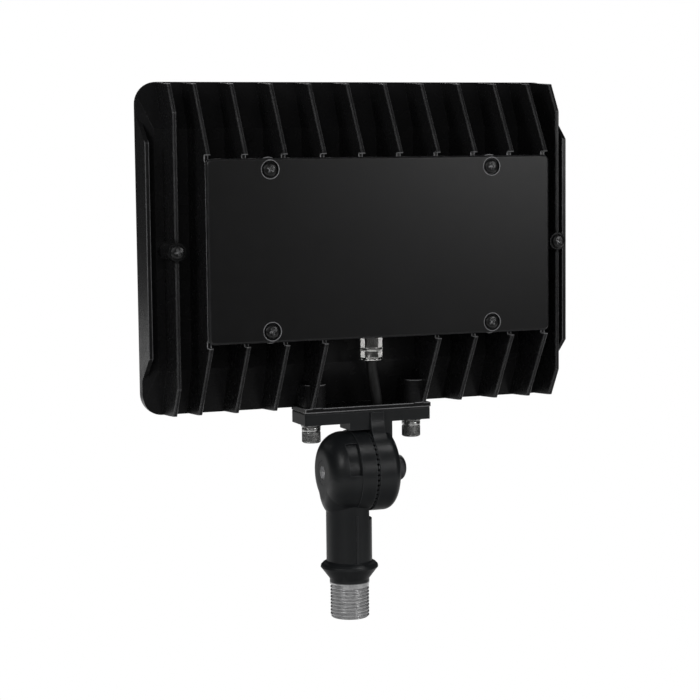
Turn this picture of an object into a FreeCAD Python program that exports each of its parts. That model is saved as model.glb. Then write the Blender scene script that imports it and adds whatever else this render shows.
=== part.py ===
# LED flood light with a finned case, a rear driver box and a serrated knuckle on a half-inch threaded stem.
# Millimetres. Stem pieces: origin on the nipple axis at the thread shoulder, Z up, Y along the beam.
# Head pieces: drawn about the middle of the rear cover, then placed by headSide and headHeight.

import FreeCAD
import Part
import Sketcher
import math
import os

doc = FreeCAD.newDocument("flood_light")
sheet = doc.addObject("Spreadsheet::Sheet", "sizes")

sizeTable = {
    # stem and nipple
    "threadRadius": 10.4,
    "threadLength": 21.0,
    "threadPitch": 1.814,
    "threadDepth": 1.0,
    "threadChamfer": 0.8,
    "collarRadius": 10.65,
    "collarLength": 2.8,
    "wireBoreRadius": 7.5,
    "wireBoreTop": 46.0,
    "beadRadius": 15.5,
    "beadHeight": 6.3,
    "beadTop": 9.4,
    "stemRadius": 12.3,
    "stemShoulder": 32.4,
    "stemRidge": 0.4,
    "stemRidgeWidth": 1.1,
    # knuckle joint
    "pivotHeight": 58.0,
    "headSide": 9.0,
    "discRadius": 22.0,
    "domeRadius": 21.5,
    "domeReach": 23.9,
    "domeRound": 12.0,
    "domePocketWidth": 6.7,
    "domePocketDepth": 1.7,
    "domePocketSweep": 50,
    "toothCount": 48,
    "toothWidth": 1.75,
    "toothDepth": 0.8,
    "toothInner": 15.6,
    "toothOuter": 21.5,
    "facesApart": 0.3,
    "wirewayOuter": 13.4,
    "hubRadius": 7.0,
    "lowerWirewayDepth": 12.0,
    "upperWirewayDepth": 8.0,
    "pivotRadius": 4.0,
    "pivotRunning": 0.05,
    "pivotHeadRadius": 6.5,
    "pivotHeadSeat": 8.0,
    "pivotHeadSunk": 0.5,
    "pivotHeadPlay": 0.1,
    "pivotSocketFlat": 3.0,
    "pivotSocketDepth": 3.5,
    "pivotWasherRadius": 8.0,
    "pivotWasherWall": 1.2,
    "pivotNutRadius": 7.0,
    "pivotNutWall": 5.0,
    "pivotNutDome": 3.2,
    # arm, hood and bar of the upper knuckle
    "discWall": 14.0,
    "discRound": 5.0,
    "armWall": 13.6,
    "armHalfDepth": 7.4,
    "armFlare": 7.0,
    "ribRise": 1.0,
    "ribWidth": 7.5,
    "ribFlare": 16.0,
    "hoodReach": 10.7,
    "hoodClear": 0.6,
    "barHalfLength": 35.8,
    "barRear": -7.4,
    "barFront": 14.0,
    "barWall": 6.0,
    "barRound": 1.0,
    "barBoltX": 28.8,
    "barBoltY": 3.0,
    # bracket fasteners
    "boltRadius": 3.0,
    "boltPlay": 0.1,
    "boltHoleRadius": 3.3,
    "boltHeadRadius": 5.0,
    "boltHeadHeight": 6.0,
    "boltSocketFlat": 2.5,
    "boltSocketDepth": 3.0,
    "boltReach": 10.0,
    "flatWasherRadius": 5.4,
    "flatWasherWall": 1.6,
    "springWasherRadius": 5.0,
    "springWasherWall": 2.6,
    "springWasherSplit": 1.2,
    "gasketWall": 0.8,
    "gasketInset": 0.3,
    # case
    "headHeight": 178.5,
    "caseWidth": 238.0,
    "caseHeight": 172.4,
    "caseCorner": 11.5,
    "caseFront": 15.0,
    "edgeRear": 13.0,
    "sideRear": 9.7,
    "floorRear": 1.5,
    "floorWall": 3.0,
    "creaseHeight": 62.0,
    "creaseWidth": 112.5,
    "railRear": -4.3,
    "railWall": 2.2,
    "railLow": 55.0,
    "railHigh": 67.6,
    "flangeWall": 2.3,
    "flangeDrop": 1.1,
    "flangeHalfLength": 35.8,
    "flangeRear": -7.9,
    "flangeBossRadius": 5.9,
    "flangeBossShift": 2.6,
    "flangeBossHeight": 12.4,
    # fins
    "finWall": 2.2,
    "finRound": 0.8,
    "finPitch": 21.1,
    "finCount": 8,
    "finGap": 2,
    "boxFinX": 93.6,
    "endFinX": 107.0,
    "finEdgeRear": -9.1,
    "finEdgeHeight": 84.6,
    "finTopHeight": 48.4,
    "finTopStep": 0.4,
    "finNotch": 4.6,
    "endFinRear": -17.8,
    "endFinHeight": 69.9,
    "sideBossRadius": 4.7,
    "sideBossRise": 0.5,
    "floorBossRadius": 4.0,
    "floorBossRise": 1.0,
    # driver box and cover
    "coverRear": -31.4,
    "coverWidth": 190.0,
    "coverHeight": 93.4,
    "coverWall": 2.4,
    "coverCorner": 3.0,
    "coverRound": 1.1,
    "coverGasketWall": 1.0,
    "boxWidth": 189.4,
    "boxHeight": 90.8,
    "boxWall": 3.0,
    "coverScrewX": 61.5,
    "coverScrewZ": 41.0,
    "coverBossRadius": 6.3,
    "coverRecessRadius": 4.6,
    "coverRecessDepth": 1.2,
    "panRadius": 3.7,
    "panHeight": 1.6,
    "panRound": 0.6,
    "panShank": 2.0,
    "panHoleRadius": 2.2,
    "screwPlay": 0.05,
    "coverScrewReach": 12.0,
    "crossLength": 4.4,
    "crossWidth": 0.9,
    "crossDepth": 1.0,
    # cable and gland
    "glandY": -12.4,
    "glandSpigot": 4.0,
    "glandHexFlat": 5.3,
    "glandHexHeight": 8.3,
    "glandCollarRadius": 6.1,
    "glandCollarWall": 0.9,
    "glandSeam": 0.3,
    "glandNeckRadius": 4.4,
    "glandNeckLength": 2.6,
    "glandNutHeight": 3.9,
    "glandLipWall": 1.5,
    "glandSealWall": 1.5,
    "locknutWall": 2.2,
    "locknutFlat": 6.0,
    "spigotReach": 3.0,
    "cableRadius": 2.8,
    "cablePlay": 0.15,
    "cableHoleRadius": 3.9,
    "cableX": 7.0,
    "cableY": -2.4,
    "cableInside": 9.0,
    "cableBelowGland": 4.0,
    "cableAboveFlange": 1.5,
    "cableInArm": 12.0,
    "cableBend": 12.0,
    # light chamber
    "ledHalfWidth": 100.0,
    "ledHalfHeight": 63.0,
    "padWall": 0.5,
    "boardHalfWidth": 96.0,
    "boardHalfHeight": 61.5,
    "boardWall": 1.6,
    "chipSize": 5.0,
    "chipWall": 0.8,
    "chipColumns": 10,
    "chipRows": 6,
    "chipPitchX": 17.0,
    "chipPitchZ": 16.0,
    "boardScrewX": 63.3,
    "boardScrewZ": 58.6,
    "smallHeadRadius": 2.75,
    "smallHeadHeight": 1.6,
    "smallShank": 1.5,
    "smallHoleRadius": 1.7,
    "boardScrewReach": 3.2,
    "trayHalfWidth": 98.5,
    "trayHalfHeight": 62.4,
    "trayOpenWidth": 88.0,
    "trayOpenHeight": 52.0,
    "trayWall": 1.9,
    "trayHoleRadius": 3.0,
    "lensSeat": 8.6,
    "lensHalfWidth": 103.5,
    "lensHalfHeight": 70.5,
    "lensWall": 3.0,
    "lensCorner": 4.0,
    "lensPlay": 0.5,
    "sealBand": 3.5,
    "sealWall": 0.8,
    "bezelHalfWidth": 112.0,
    "bezelHalfHeight": 79.0,
    "bezelBand": 11.5,
    "bezelCorner": 8.0,
    "bezelPlay": 0.4,
    "bezelScrewX": 107.0,
    "bezelScrewZ": 75.0,
    "bezelScrewReach": 2.6,
    "coneRadius": 2.9,
    "coneDepth": 1.5,
    "sideScrewReach": 1.6,
    # driver
    "driverHalfWidth": 52.0,
    "driverLow": -22.0,
    "driverHigh": 36.0,
    "driverDepth": 25.0,
    "driverRound": 2.0,
    "driverTab": 9.0,
    "driverTabWall": 2.0,
    "driverScrewReach": 2.4,
    "connectorX": 70.0,
    "connectorWidth": 14.0,
    "connectorDepth": 9.0,
    "connectorHeight": 18.0,
    "connectorPitch": 22.0,
}

for row, (name, number) in enumerate(sizeTable.items(), start=1):
    sheet.set(f"A{row}", name)
    sheet.set(f"B{row}", str(number))
    sheet.setAlias(f"B{row}", name)
doc.recompute()


class Size:
    # a number and the sheet expression that gives it
    def __init__(self, value, text):
        self.value = value
        self.text = text

    def __add__(self, other):
        other = asSize(other)
        return Size(self.value + other.value, f"({self.text} + {other.text})")

    def __radd__(self, other):
        return asSize(other) + self

    def __sub__(self, other):
        other = asSize(other)
        return Size(self.value - other.value, f"({self.text} - {other.text})")

    def __rsub__(self, other):
        return asSize(other) - self

    def __mul__(self, other):
        other = asSize(other)
        return Size(self.value * other.value, f"({self.text} * {other.text})")

    def __rmul__(self, other):
        return asSize(other) * self

    def __truediv__(self, other):
        other = asSize(other)
        return Size(self.value / other.value, f"({self.text} / {other.text})")

    def __neg__(self):
        return Size(-self.value, f"(0 - {self.text})")

    def root(self):
        return Size(math.sqrt(self.value), f"sqrt({self.text})")


def asSize(number):
    return number if isinstance(number, Size) else Size(float(number), f"({float(number)})")


def size(name):
    return Size(float(sheet.get(name)), f"sizes.{name}")


planes = {"XY": 3, "XZ": 4, "YZ": 5}
bodies = []


def newBody(label, onHead=True):
    body = doc.addObject("PartDesign::Body", label)
    body.Label = label
    body.AllowCompound = True
    if onHead:
        body.setExpression("Placement.Base.x", "sizes.headSide")
        body.setExpression("Placement.Base.z", "sizes.headHeight")
    bodies.append(body)
    return body


def newSketch(body, plane, level=0, origin=(0, 0)):
    # a sketch square to one axis, at a level along that axis, with its own origin in the plane
    sketch = body.newObject("Sketcher::SketchObject", body.Label + "_sketch")
    sketch.AttachmentSupport = [(body.Origin.OriginFeatures[planes[plane]], "")]
    sketch.MapMode = "FlatFace"
    lift = -asSize(level) if plane == "XZ" else asSize(level)
    for axis, shift in (("x", origin[0]), ("y", origin[1]), ("z", lift)):
        sketch.setExpression(f"AttachmentOffset.Base.{axis}", asSize(shift).text)
    return sketch


def drive(sketch, rules):
    # adds constraints in one go and ties each one that has a size to its expression
    first = sketch.ConstraintCount
    sketch.addConstraint([rule for rule, number in rules])
    for index, (rule, number) in enumerate(rules, start=first):
        if number is not None:
            sketch.setExpression(f"Constraints[{index}]", number.text)


def placed(geometry, point, where):
    # two rules that hold a sketch point at its coordinates
    rules = []
    for kind, number in (("DistanceX", asSize(where[0])), ("DistanceY", asSize(where[1]))):
        rules.append((Sketcher.Constraint(kind, -1, 1, geometry, point, number.value), number))
    return rules


def drawPolygon(sketch, points):
    first = sketch.GeometryCount
    count = len(points)
    corners = [FreeCAD.Vector(asSize(u).value, asSize(v).value, 0) for u, v in points]
    lines = [Part.LineSegment(corners[i], corners[(i + 1) % count]) for i in range(count)]
    sketch.addGeometry(lines, False)
    rules = []
    for i, point in enumerate(points):
        following = first + (i + 1) % count
        rules.append((Sketcher.Constraint("Coincident", first + i, 2, following, 1), None))
        rules += placed(first + i, 1, point)
    drive(sketch, rules)


def drawRectangle(sketch, low, high):
    drawPolygon(sketch, [(low[0], low[1]), (high[0], low[1]), (high[0], high[1]), (low[0], high[1])])


def drawCircle(sketch, centre, radius):
    radius = asSize(radius)
    middle = FreeCAD.Vector(asSize(centre[0]).value, asSize(centre[1]).value, 0)
    index = sketch.addGeometry(Part.Circle(middle, FreeCAD.Vector(0, 0, 1), radius.value), False)
    rules = placed(index, 3, centre)
    rules.append((Sketcher.Constraint("Radius", index, radius.value), radius))
    drive(sketch, rules)


def drawHexagon(sketch, centre, flat):
    # six corners at half the width over flats divided by cos 30
    reach = asSize(flat) / math.cos(math.radians(30))
    corners = []
    for i in range(6):
        turn = math.radians(60 * i)
        corners.append((centre[0] + reach * math.cos(turn), centre[1] + reach * math.sin(turn)))
    drawPolygon(sketch, corners)


def extrude(body, sketch, plane, start, stop, remove=False):
    # the sketch stands at start; material is added or removed up to stop, along the plane's axis
    feature = body.newObject("PartDesign::Pocket" if remove else "PartDesign::Pad", body.Label + "_step")
    feature.Profile = sketch
    feature.setExpression("Length", (asSize(stop) - asSize(start)).text)
    againstNormal = plane == "XZ"
    feature.Reversed = againstNormal != remove
    return feature


def block(body, plane, start, stop, low, high, remove=False):
    sketch = newSketch(body, plane, start)
    drawRectangle(sketch, low, high)
    return extrude(body, sketch, plane, start, stop, remove)


def prism(body, plane, start, stop, points, remove=False):
    sketch = newSketch(body, plane, start)
    drawPolygon(sketch, points)
    return extrude(body, sketch, plane, start, stop, remove)


def rods(body, plane, start, stop, centres, radius, remove=False):
    sketch = newSketch(body, plane, start)
    for centre in centres:
        drawCircle(sketch, centre, radius)
    return extrude(body, sketch, plane, start, stop, remove)


def rings(body, plane, start, stop, centres, outer, inner):
    sketch = newSketch(body, plane, start)
    for centre in centres:
        drawCircle(sketch, centre, outer)
        drawCircle(sketch, centre, inner)
    return extrude(body, sketch, plane, start, stop)


def frame(body, start, stop, outer, inner):
    # a rectangular ring that faces along Y
    sketch = newSketch(body, "XZ", start)
    drawRectangle(sketch, (-outer[0], -outer[1]), (outer[0], outer[1]))
    drawRectangle(sketch, (-inner[0], -inner[1]), (inner[0], inner[1]))
    return extrude(body, sketch, "XZ", start, stop)


def spin(body, plane, origin, points, axis, remove=False):
    # a full turn of a closed profile about one axis of its sketch
    sketch = newSketch(body, plane, 0, origin)
    drawPolygon(sketch, points)
    feature = body.newObject("PartDesign::Groove" if remove else "PartDesign::Revolution", body.Label + "_turn")
    feature.Profile = sketch
    feature.ReferenceAxis = (sketch, [axis])
    feature.Angle = 360
    return feature


def mirror(body, features, plane):
    copy = body.newObject("PartDesign::Mirrored", body.Label + "_mirror")
    copy.Originals = features
    copy.MirrorPlane = (body.Origin.OriginFeatures[planes[plane]], [""])
    body.Tip = copy
    return copy


def repeat(body, feature, length, count):
    copy = body.newObject("PartDesign::LinearPattern", body.Label + "_row")
    copy.Originals = [feature]
    copy.Direction = (body.Origin.OriginFeatures[0], [""])
    copy.setExpression("Length", asSize(length).text)
    copy.setExpression("Occurrences", asSize(count).text)
    body.Tip = copy
    return copy


def roundEdges(body, radius, chosen):
    doc.recompute()
    base = body.Tip
    names = [f"Edge{i}" for i, edge in enumerate(base.Shape.Edges, start=1) if chosen(edge)]
    feature = body.newObject("PartDesign::Fillet", body.Label + "_round")
    feature.Base = (base, names)
    feature.setExpression("Radius", asSize(radius).text)
    doc.recompute()
    return feature


def isStraight(edge, axis):
    if edge.Curve.TypeId != "Part::GeomLine":
        return False
    return abs(abs(edge.Curve.Direction.dot(axis)) - 1) < 1e-6


def isCircle(edge, radius, coordinate, level):
    # a full circle of a radius whose centre has a coordinate at a level
    if edge.Curve.TypeId != "Part::GeomCircle" or len(edge.Vertexes) > 1:
        return False
    place = getattr(edge.Curve.Center, coordinate)
    return abs(edge.Curve.Radius - radius.value) < 1e-4 and abs(place - level.value) < 1e-4


axisX = FreeCAD.Vector(1, 0, 0)
axisY = FreeCAD.Vector(0, 1, 0)
axisZ = FreeCAD.Vector(0, 0, 1)
origin = (0, 0)


def fourCorners(x, z):
    return [(-x, -z), (x, -z), (-x, z), (x, z)]


# Levels that several pieces share, head frame
halfWidth = size("caseWidth") / 2
halfHeight = size("caseHeight") / 2
pivotZ = size("pivotHeight") - size("headHeight")
flangeBottom = -halfHeight - size("flangeDrop")
flangeTop = flangeBottom + size("flangeWall")
barTop = flangeBottom - size("gasketWall")
barBottom = barTop - size("barWall")
hoodBottom = pivotZ + size("discRadius") + size("hoodClear")
boxRim = size("coverRear") + size("coverWall") + size("coverGasketWall")
coverFront = size("coverRear") + size("coverWall")
boxHalfX = size("boxWidth") / 2
boxHalfZ = size("boxHeight") / 2
boxInsideX = boxHalfX - size("boxWall")
boxInsideZ = boxHalfZ - size("boxWall")
floorFront = size("floorRear") + size("floorWall")
bezelRear = size("lensSeat") + size("lensWall") + size("sealWall")
coverScrews = fourCorners(size("coverScrewX"), size("coverScrewZ"))
boardScrews = fourCorners(size("boardScrewX"), size("boardScrewZ"))
sideScrews = [(-size("endFinX"), 0), (size("endFinX"), 0)]
bezelScrews = fourCorners(size("bezelScrewX"), size("bezelScrewZ")) + [
    (0, -size("bezelScrewZ")),
    (0, size("bezelScrewZ")),
]
barBolts = [(-size("barBoltX"), size("barBoltY")), (size("barBoltX"), size("barBoltY"))]
cableSpot = (size("cableX"), size("cableY"))
glandSpot = (0, size("glandY"))
glandTop = -boxHalfZ
sideBossRear = size("endFinRear") - size("sideBossRise")
recessFloor = size("coverRear") + size("coverRecessDepth")
finHalf = size("finWall") / 2
finRow = size("finPitch") * (size("finCount") - 1)


def finOutline(side):
    # a fin from the case edge up to the cover; side is 1 above the cover and -1 below it
    root = size("edgeRear") + 0.8
    top = size("coverRear") + size("finTopStep")
    return [
        (root, side * (halfHeight - 0.3)),
        (size("finEdgeRear"), side * size("finEdgeHeight")),
        (top, side * size("finTopHeight")),
        (top + size("finNotch"), side * size("finTopHeight")),
        (top + size("finNotch"), side * (boxHalfZ - size("boxWall") / 2)),
        (floorFront - 1, side * (boxHalfZ - size("boxWall") / 2)),
        (floorFront - 1, side * size("creaseHeight")),
    ]


def finPlate(body, centre, side):
    return prism(body, "YZ", centre - finHalf, centre + finHalf, finOutline(side))


# Housing: pan with sloped edges, rails, driver box, fins, flange and bosses
housing = newBody("heatsink_housing")
block(housing, "XZ", size("floorRear"), size("caseFront"), (-halfWidth, -halfHeight), (halfWidth, halfHeight))
roundEdges(housing, size("caseCorner"), lambda edge: isStraight(edge, axisY))
slope = [
    (size("edgeRear"), halfHeight),
    (size("edgeRear"), halfHeight + 1),
    (size("floorRear") - 1, halfHeight + 1),
    (size("floorRear") - 1, size("creaseHeight")),
    (size("floorRear"), size("creaseHeight")),
]
edgeSlope = prism(housing, "YZ", -halfWidth - 1, halfWidth + 1, slope, remove=True)
mirror(housing, [edgeSlope], "XY")
sideSlope = [
    (halfWidth, size("sideRear")),
    (halfWidth + 1, size("sideRear")),
    (halfWidth + 1, size("floorRear") - 1),
    (size("creaseWidth"), size("floorRear") - 1),
    (size("creaseWidth"), size("floorRear")),
]
flankSlope = prism(housing, "XY", -halfHeight - 1, halfHeight + 1, sideSlope, remove=True)
mirror(housing, [flankSlope], "YZ")
railOutline = [
    (size("sideRear") + 1, size("railHigh")),
    (size("sideRear"), size("railHigh")),
    (size("railRear"), size("railLow")),
    (size("railRear"), -size("railLow")),
    (size("sideRear"), -size("railHigh")),
    (size("sideRear") + 1, -size("railHigh")),
]
rail = prism(housing, "YZ", halfWidth - size("railWall"), halfWidth, railOutline)
mirror(housing, [rail], "YZ")
block(housing, "XZ", boxRim, size("floorRear"), (-boxHalfX, -boxHalfZ), (boxHalfX, boxHalfZ))
upperFin = finPlate(housing, -finRow / 2, 1)
repeat(housing, upperFin, finRow, size("finCount"))
sideCount = (size("finCount") - size("finGap")) / 2
sideRow = size("finPitch") * (sideCount - 1)
for start in (-finRow / 2, finRow / 2 - sideRow):
    lowerFin = finPlate(housing, start, -1)
    repeat(housing, lowerFin, sideRow, sideCount)
boxFins = [finPlate(housing, size("boxFinX"), side) for side in (1, -1)]
endFinOutline = [
    (size("edgeRear") + 0.8, halfHeight - 0.3),
    (size("finEdgeRear"), size("finEdgeHeight")),
    (size("endFinRear"), size("endFinHeight")),
    (size("endFinRear"), -size("endFinHeight")),
    (size("finEdgeRear"), -size("finEdgeHeight")),
    (size("edgeRear") + 0.8, -halfHeight + 0.3),
]
endFin = prism(housing, "YZ", size("endFinX") - finHalf, size("endFinX") + finHalf, endFinOutline)
mirror(housing, boxFins + [endFin], "YZ")
rods(housing, "XZ", sideBossRear, size("floorRear") + 1, sideScrews, size("sideBossRadius"))
rods(
    housing,
    "XZ",
    size("floorRear") - size("floorBossRise"),
    size("floorRear") + 1,
    boardScrews,
    size("floorBossRadius"),
)
block(
    housing,
    "XY",
    flangeBottom,
    flangeTop,
    (-size("flangeHalfLength"), size("flangeRear")),
    (size("flangeHalfLength"), size("caseFront") - 1),
)
bossTop = flangeTop + size("flangeBossHeight")
bossShift = -size("flangeBossShift")
bossSpots = [(-size("barBoltX"), bossShift), (size("barBoltX"), bossShift)]
rods(housing, "XY", flangeTop, bossTop, bossSpots, size("flangeBossRadius"))
for centre, _ in bossSpots:
    low = (centre - size("flangeBossRadius"), bossShift)
    high = (centre + size("flangeBossRadius"), size("lensSeat"))
    block(housing, "XY", flangeTop, bossTop, low, high)
block(
    housing,
    "XZ",
    boxRim,
    size("floorRear"),
    (-boxInsideX, -boxInsideZ),
    (boxInsideX, boxInsideZ),
    remove=True,
)
rods(housing, "XZ", boxRim, size("floorRear") + 1, coverScrews, size("coverBossRadius"))
rods(housing, "XZ", boxRim, boxRim + size("coverScrewReach"), coverScrews, size("panShank") + size("screwPlay"), True)
rods(housing, "XZ", sideBossRear, bezelRear, sideScrews, size("panShank") + size("screwPlay"), True)
rods(housing, "XY", glandTop, glandTop + size("boxWall"), [glandSpot], size("glandSpigot") + size("screwPlay"), True)
boltHole = size("boltRadius") + size("screwPlay")
rods(housing, "XY", flangeBottom, flangeTop + size("boltReach"), barBolts, boltHole, True)
rods(housing, "XY", flangeBottom, flangeTop, [cableSpot], size("cableHoleRadius"), True)
lightSteps = [
    (floorFront, size("lensSeat"), size("ledHalfWidth"), size("ledHalfHeight")),
    (
        size("lensSeat"),
        bezelRear,
        size("lensHalfWidth") + size("lensPlay"),
        size("lensHalfHeight") + size("lensPlay"),
    ),
    (
        bezelRear,
        size("caseFront"),
        size("bezelHalfWidth") + size("bezelPlay"),
        size("bezelHalfHeight") + size("bezelPlay"),
    ),
]
for start, stop, x, z in lightSteps:
    block(housing, "XZ", start, stop, (-x, -z), (x, z), remove=True)
smallHole = size("smallShank") + size("screwPlay")
rods(housing, "XZ", floorFront - size("boardScrewReach"), floorFront, boardScrews, smallHole, True)
rods(housing, "XZ", bezelRear - size("bezelScrewReach") - 0.3, bezelRear, bezelScrews, smallHole, True)
driverScrewX = size("driverHalfWidth") + size("driverTab") / 2
driverMiddle = (size("driverLow") + size("driverHigh")) / 2
driverScrews = [(-driverScrewX, driverMiddle), (driverScrewX, driverMiddle)]
rods(
    housing,
    "XZ",
    size("floorRear"),
    size("floorRear") + size("driverScrewReach"),
    driverScrews,
    smallHole,
    True,
)


def isFinEdge(edge):
    # long rear edges of the fins, which slope back to the cover or run straight on the end fins
    if edge.Curve.TypeId != "Part::GeomLine" or edge.Length < 8:
        return False
    if abs(edge.Curve.Direction.x) > 1e-6:
        return False
    rear = size("finEdgeRear").value + 1e-3
    ends = [vertex.Point for vertex in edge.Vertexes]
    if any(point.y > rear for point in ends):
        return False
    if abs(edge.Curve.Direction.z) < 1e-3:
        return False
    slanted = abs(edge.Curve.Direction.y) > 0.1
    onEndFin = all(abs(point.y - size("endFinRear").value) < 1e-3 for point in ends)
    return slanted or onEndFin


roundEdges(housing, size("finRound"), isFinEdge)


# Rear cover with its gasket and screws
cover = newBody("driver_cover")
coverX = size("coverWidth") / 2
coverZ = size("coverHeight") / 2
block(cover, "XZ", size("coverRear"), coverFront, (-coverX, -coverZ), (coverX, coverZ))
roundEdges(cover, size("coverCorner"), lambda edge: isStraight(edge, axisY))
rearLevel = size("coverRear").value
roundEdges(cover, size("coverRound"), lambda edge: all(abs(v.Y - rearLevel) < 1e-4 for v in edge.Vertexes))
rods(cover, "XZ", size("coverRear"), recessFloor, coverScrews, size("coverRecessRadius"), True)
rods(cover, "XZ", recessFloor, coverFront, coverScrews, size("panHoleRadius"), True)

gasket = newBody("cover_gasket")
frame(gasket, coverFront, boxRim, (boxHalfX, boxHalfZ), (boxInsideX, boxInsideZ))
rods(gasket, "XZ", coverFront, boxRim, coverScrews, size("panHoleRadius"), True)


def panScrews(label, spots, seat, reach):
    # cross-recess pan screws that point along +Y from their seat
    body = newBody(label)
    rods(body, "XZ", seat - size("panHeight"), seat, spots, size("panRadius"))
    top = seat - size("panHeight")
    roundEdges(
        body,
        size("panRound"),
        lambda edge: isCircle(edge, size("panRadius"), "y", top),
    )
    rods(body, "XZ", seat, seat + reach, spots, size("panShank"))
    for long, wide in ((size("crossLength"), size("crossWidth")), (size("crossWidth"), size("crossLength"))):
        sketch = newSketch(body, "XZ", top)
        for x, z in spots:
            x = asSize(x)
            z = asSize(z)
            drawRectangle(sketch, (x - long / 2, z - wide / 2), (x + long / 2, z + wide / 2))
        extrude(body, sketch, "XZ", top, top + size("crossDepth"), remove=True)
    return body


panScrews("cover_screws", coverScrews, recessFloor, boxRim - recessFloor + size("coverScrewReach") - 1)
panScrews("side_screws", sideScrews, sideBossRear, bezelRear - sideBossRear + size("sideScrewReach"))


# Cable gland, clamp nut, seal and locknut
collarTop = glandTop - size("glandHexHeight")
collarBottom = collarTop - size("glandCollarWall")
nutTop = collarBottom - size("glandSeam")
nutBottom = nutTop - size("glandNutHeight")
lipBottom = nutBottom - size("glandLipWall")
neckBottom = collarBottom - size("glandNeckLength")
sealTop = neckBottom
cableBore = size("cableRadius") + size("cablePlay")
spigotTop = glandTop + size("boxWall") + size("spigotReach")

glandBody = newBody("gland_body")
sketch = newSketch(glandBody, "XY", collarTop)
drawHexagon(sketch, (asSize(0), size("glandY")), size("glandHexFlat"))
extrude(glandBody, sketch, "XY", collarTop, glandTop)
rods(glandBody, "XY", glandTop, spigotTop, [glandSpot], size("glandSpigot"))
rods(glandBody, "XY", collarBottom, collarTop, [glandSpot], size("glandCollarRadius"))
rods(glandBody, "XY", neckBottom, collarBottom, [glandSpot], size("glandNeckRadius"))
rods(glandBody, "XY", neckBottom, spigotTop, [glandSpot], cableBore, True)

glandNut = newBody("gland_nut")
sketch = newSketch(glandNut, "XY", nutBottom)
drawHexagon(sketch, (asSize(0), size("glandY")), size("glandHexFlat"))
extrude(glandNut, sketch, "XY", nutBottom, nutTop)
rods(glandNut, "XY", lipBottom, nutBottom, [glandSpot], size("glandCollarRadius"))
nutBore = size("glandNeckRadius") + size("screwPlay")
sealBottom = sealTop - size("glandSealWall")
rods(glandNut, "XY", sealBottom, nutTop, [glandSpot], nutBore, True)
rods(glandNut, "XY", lipBottom, sealBottom, [glandSpot], cableBore, True)

glandSeal = newBody("gland_seal")
rings(glandSeal, "XY", sealBottom, sealTop, [glandSpot], size("glandNeckRadius"), cableBore)

locknut = newBody("gland_locknut")
lockBottom = glandTop + size("boxWall")
sketch = newSketch(locknut, "XY", lockBottom)
drawHexagon(sketch, (asSize(0), size("glandY")), size("locknutFlat"))
drawCircle(sketch, glandSpot, size("glandSpigot") + size("screwPlay"))
extrude(locknut, sketch, "XY", lockBottom, lockBottom + size("locknutWall"))


# Lead from the driver box through the gland and the flange into the arm
def roundedRoute(points, bend):
    # straight runs joined by tangent arcs of one radius
    edges = []
    start = points[0]
    for before, corner, after in zip(points, points[1:], points[2:]):
        inward = (corner - before).normalize()
        outward = (after - corner).normalize()
        turn = inward.getAngle(outward)
        cut = bend * math.tan(turn / 2)
        first = corner - inward * cut
        last = corner + outward * cut
        towards = (outward - inward).normalize()
        middle = corner + towards * (bend / math.cos(turn / 2) - bend)
        edges.append(Part.LineSegment(start, first).toShape())
        edges.append(Part.Arc(first, middle, last).toShape())
        start = last
    edges.append(Part.LineSegment(start, points[-1]).toShape())
    return Part.Wire(edges)


def spot(where, height):
    return FreeCAD.Vector(asSize(where[0]).value, asSize(where[1]).value, height.value)


cableRoute = [
    spot(glandSpot, spigotTop + size("cableInside")),
    spot(glandSpot, lipBottom - size("cableBelowGland")),
    spot(cableSpot, flangeTop + size("cableAboveFlange")),
    spot(cableSpot, barBottom - size("cableInArm")),
]
route = roundedRoute(cableRoute, size("cableBend").value)
section = Part.Wire(Part.makeCircle(size("cableRadius").value, cableRoute[0], axisZ))
cable = doc.addObject("Part::Feature", "power_cable")
cable.Label = "power_cable"
cable.Shape = route.makePipeShell([section], True, False)
cable.setExpression("Placement.Base.x", "sizes.headSide")
cable.setExpression("Placement.Base.z", "sizes.headHeight")
bodies.append(cable)
tubeVolume = math.pi * size("cableRadius").value ** 2 * route.Length
print("cable", round(route.Length, 2), "mm, bend", size("cableBend").value, "volume", cable.Shape.Volume, tubeVolume)


# Upper knuckle: bar, hood, arm and serrated disc
faceGap = size("facesApart") / 2
toothRoot = faceGap + size("toothDepth")


upper = newBody("upper_knuckle")
block(
    upper,
    "XY",
    barBottom,
    barTop,
    (-size("barHalfLength"), size("barRear")),
    (size("barHalfLength"), size("barFront")),
)
roundEdges(upper, size("barRound"), lambda edge: isStraight(edge, axisZ))
block(
    upper,
    "XY",
    hoodBottom,
    barBottom,
    (-size("hoodReach"), size("barRear")),
    (size("armWall"), -size("barRear")),
)
pivotSpot = (0, pivotZ)
rods(upper, "YZ", toothRoot, size("discWall"), [pivotSpot], size("discRadius"))
roundEdges(upper, size("discRound"), lambda edge: isCircle(edge, size("discRadius"), "x", size("discWall")))
block(
    upper,
    "XY",
    pivotZ,
    barBottom,
    (toothRoot, -size("armHalfDepth")),
    (size("armWall"), size("armHalfDepth")),
)


def flareHeight(flat, bend):
    # height above the pivot at which the hollow fillet leaves the flat side
    reach = size("discRadius") + bend
    across = flat + bend
    return (reach * reach - across * across).root()


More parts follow.
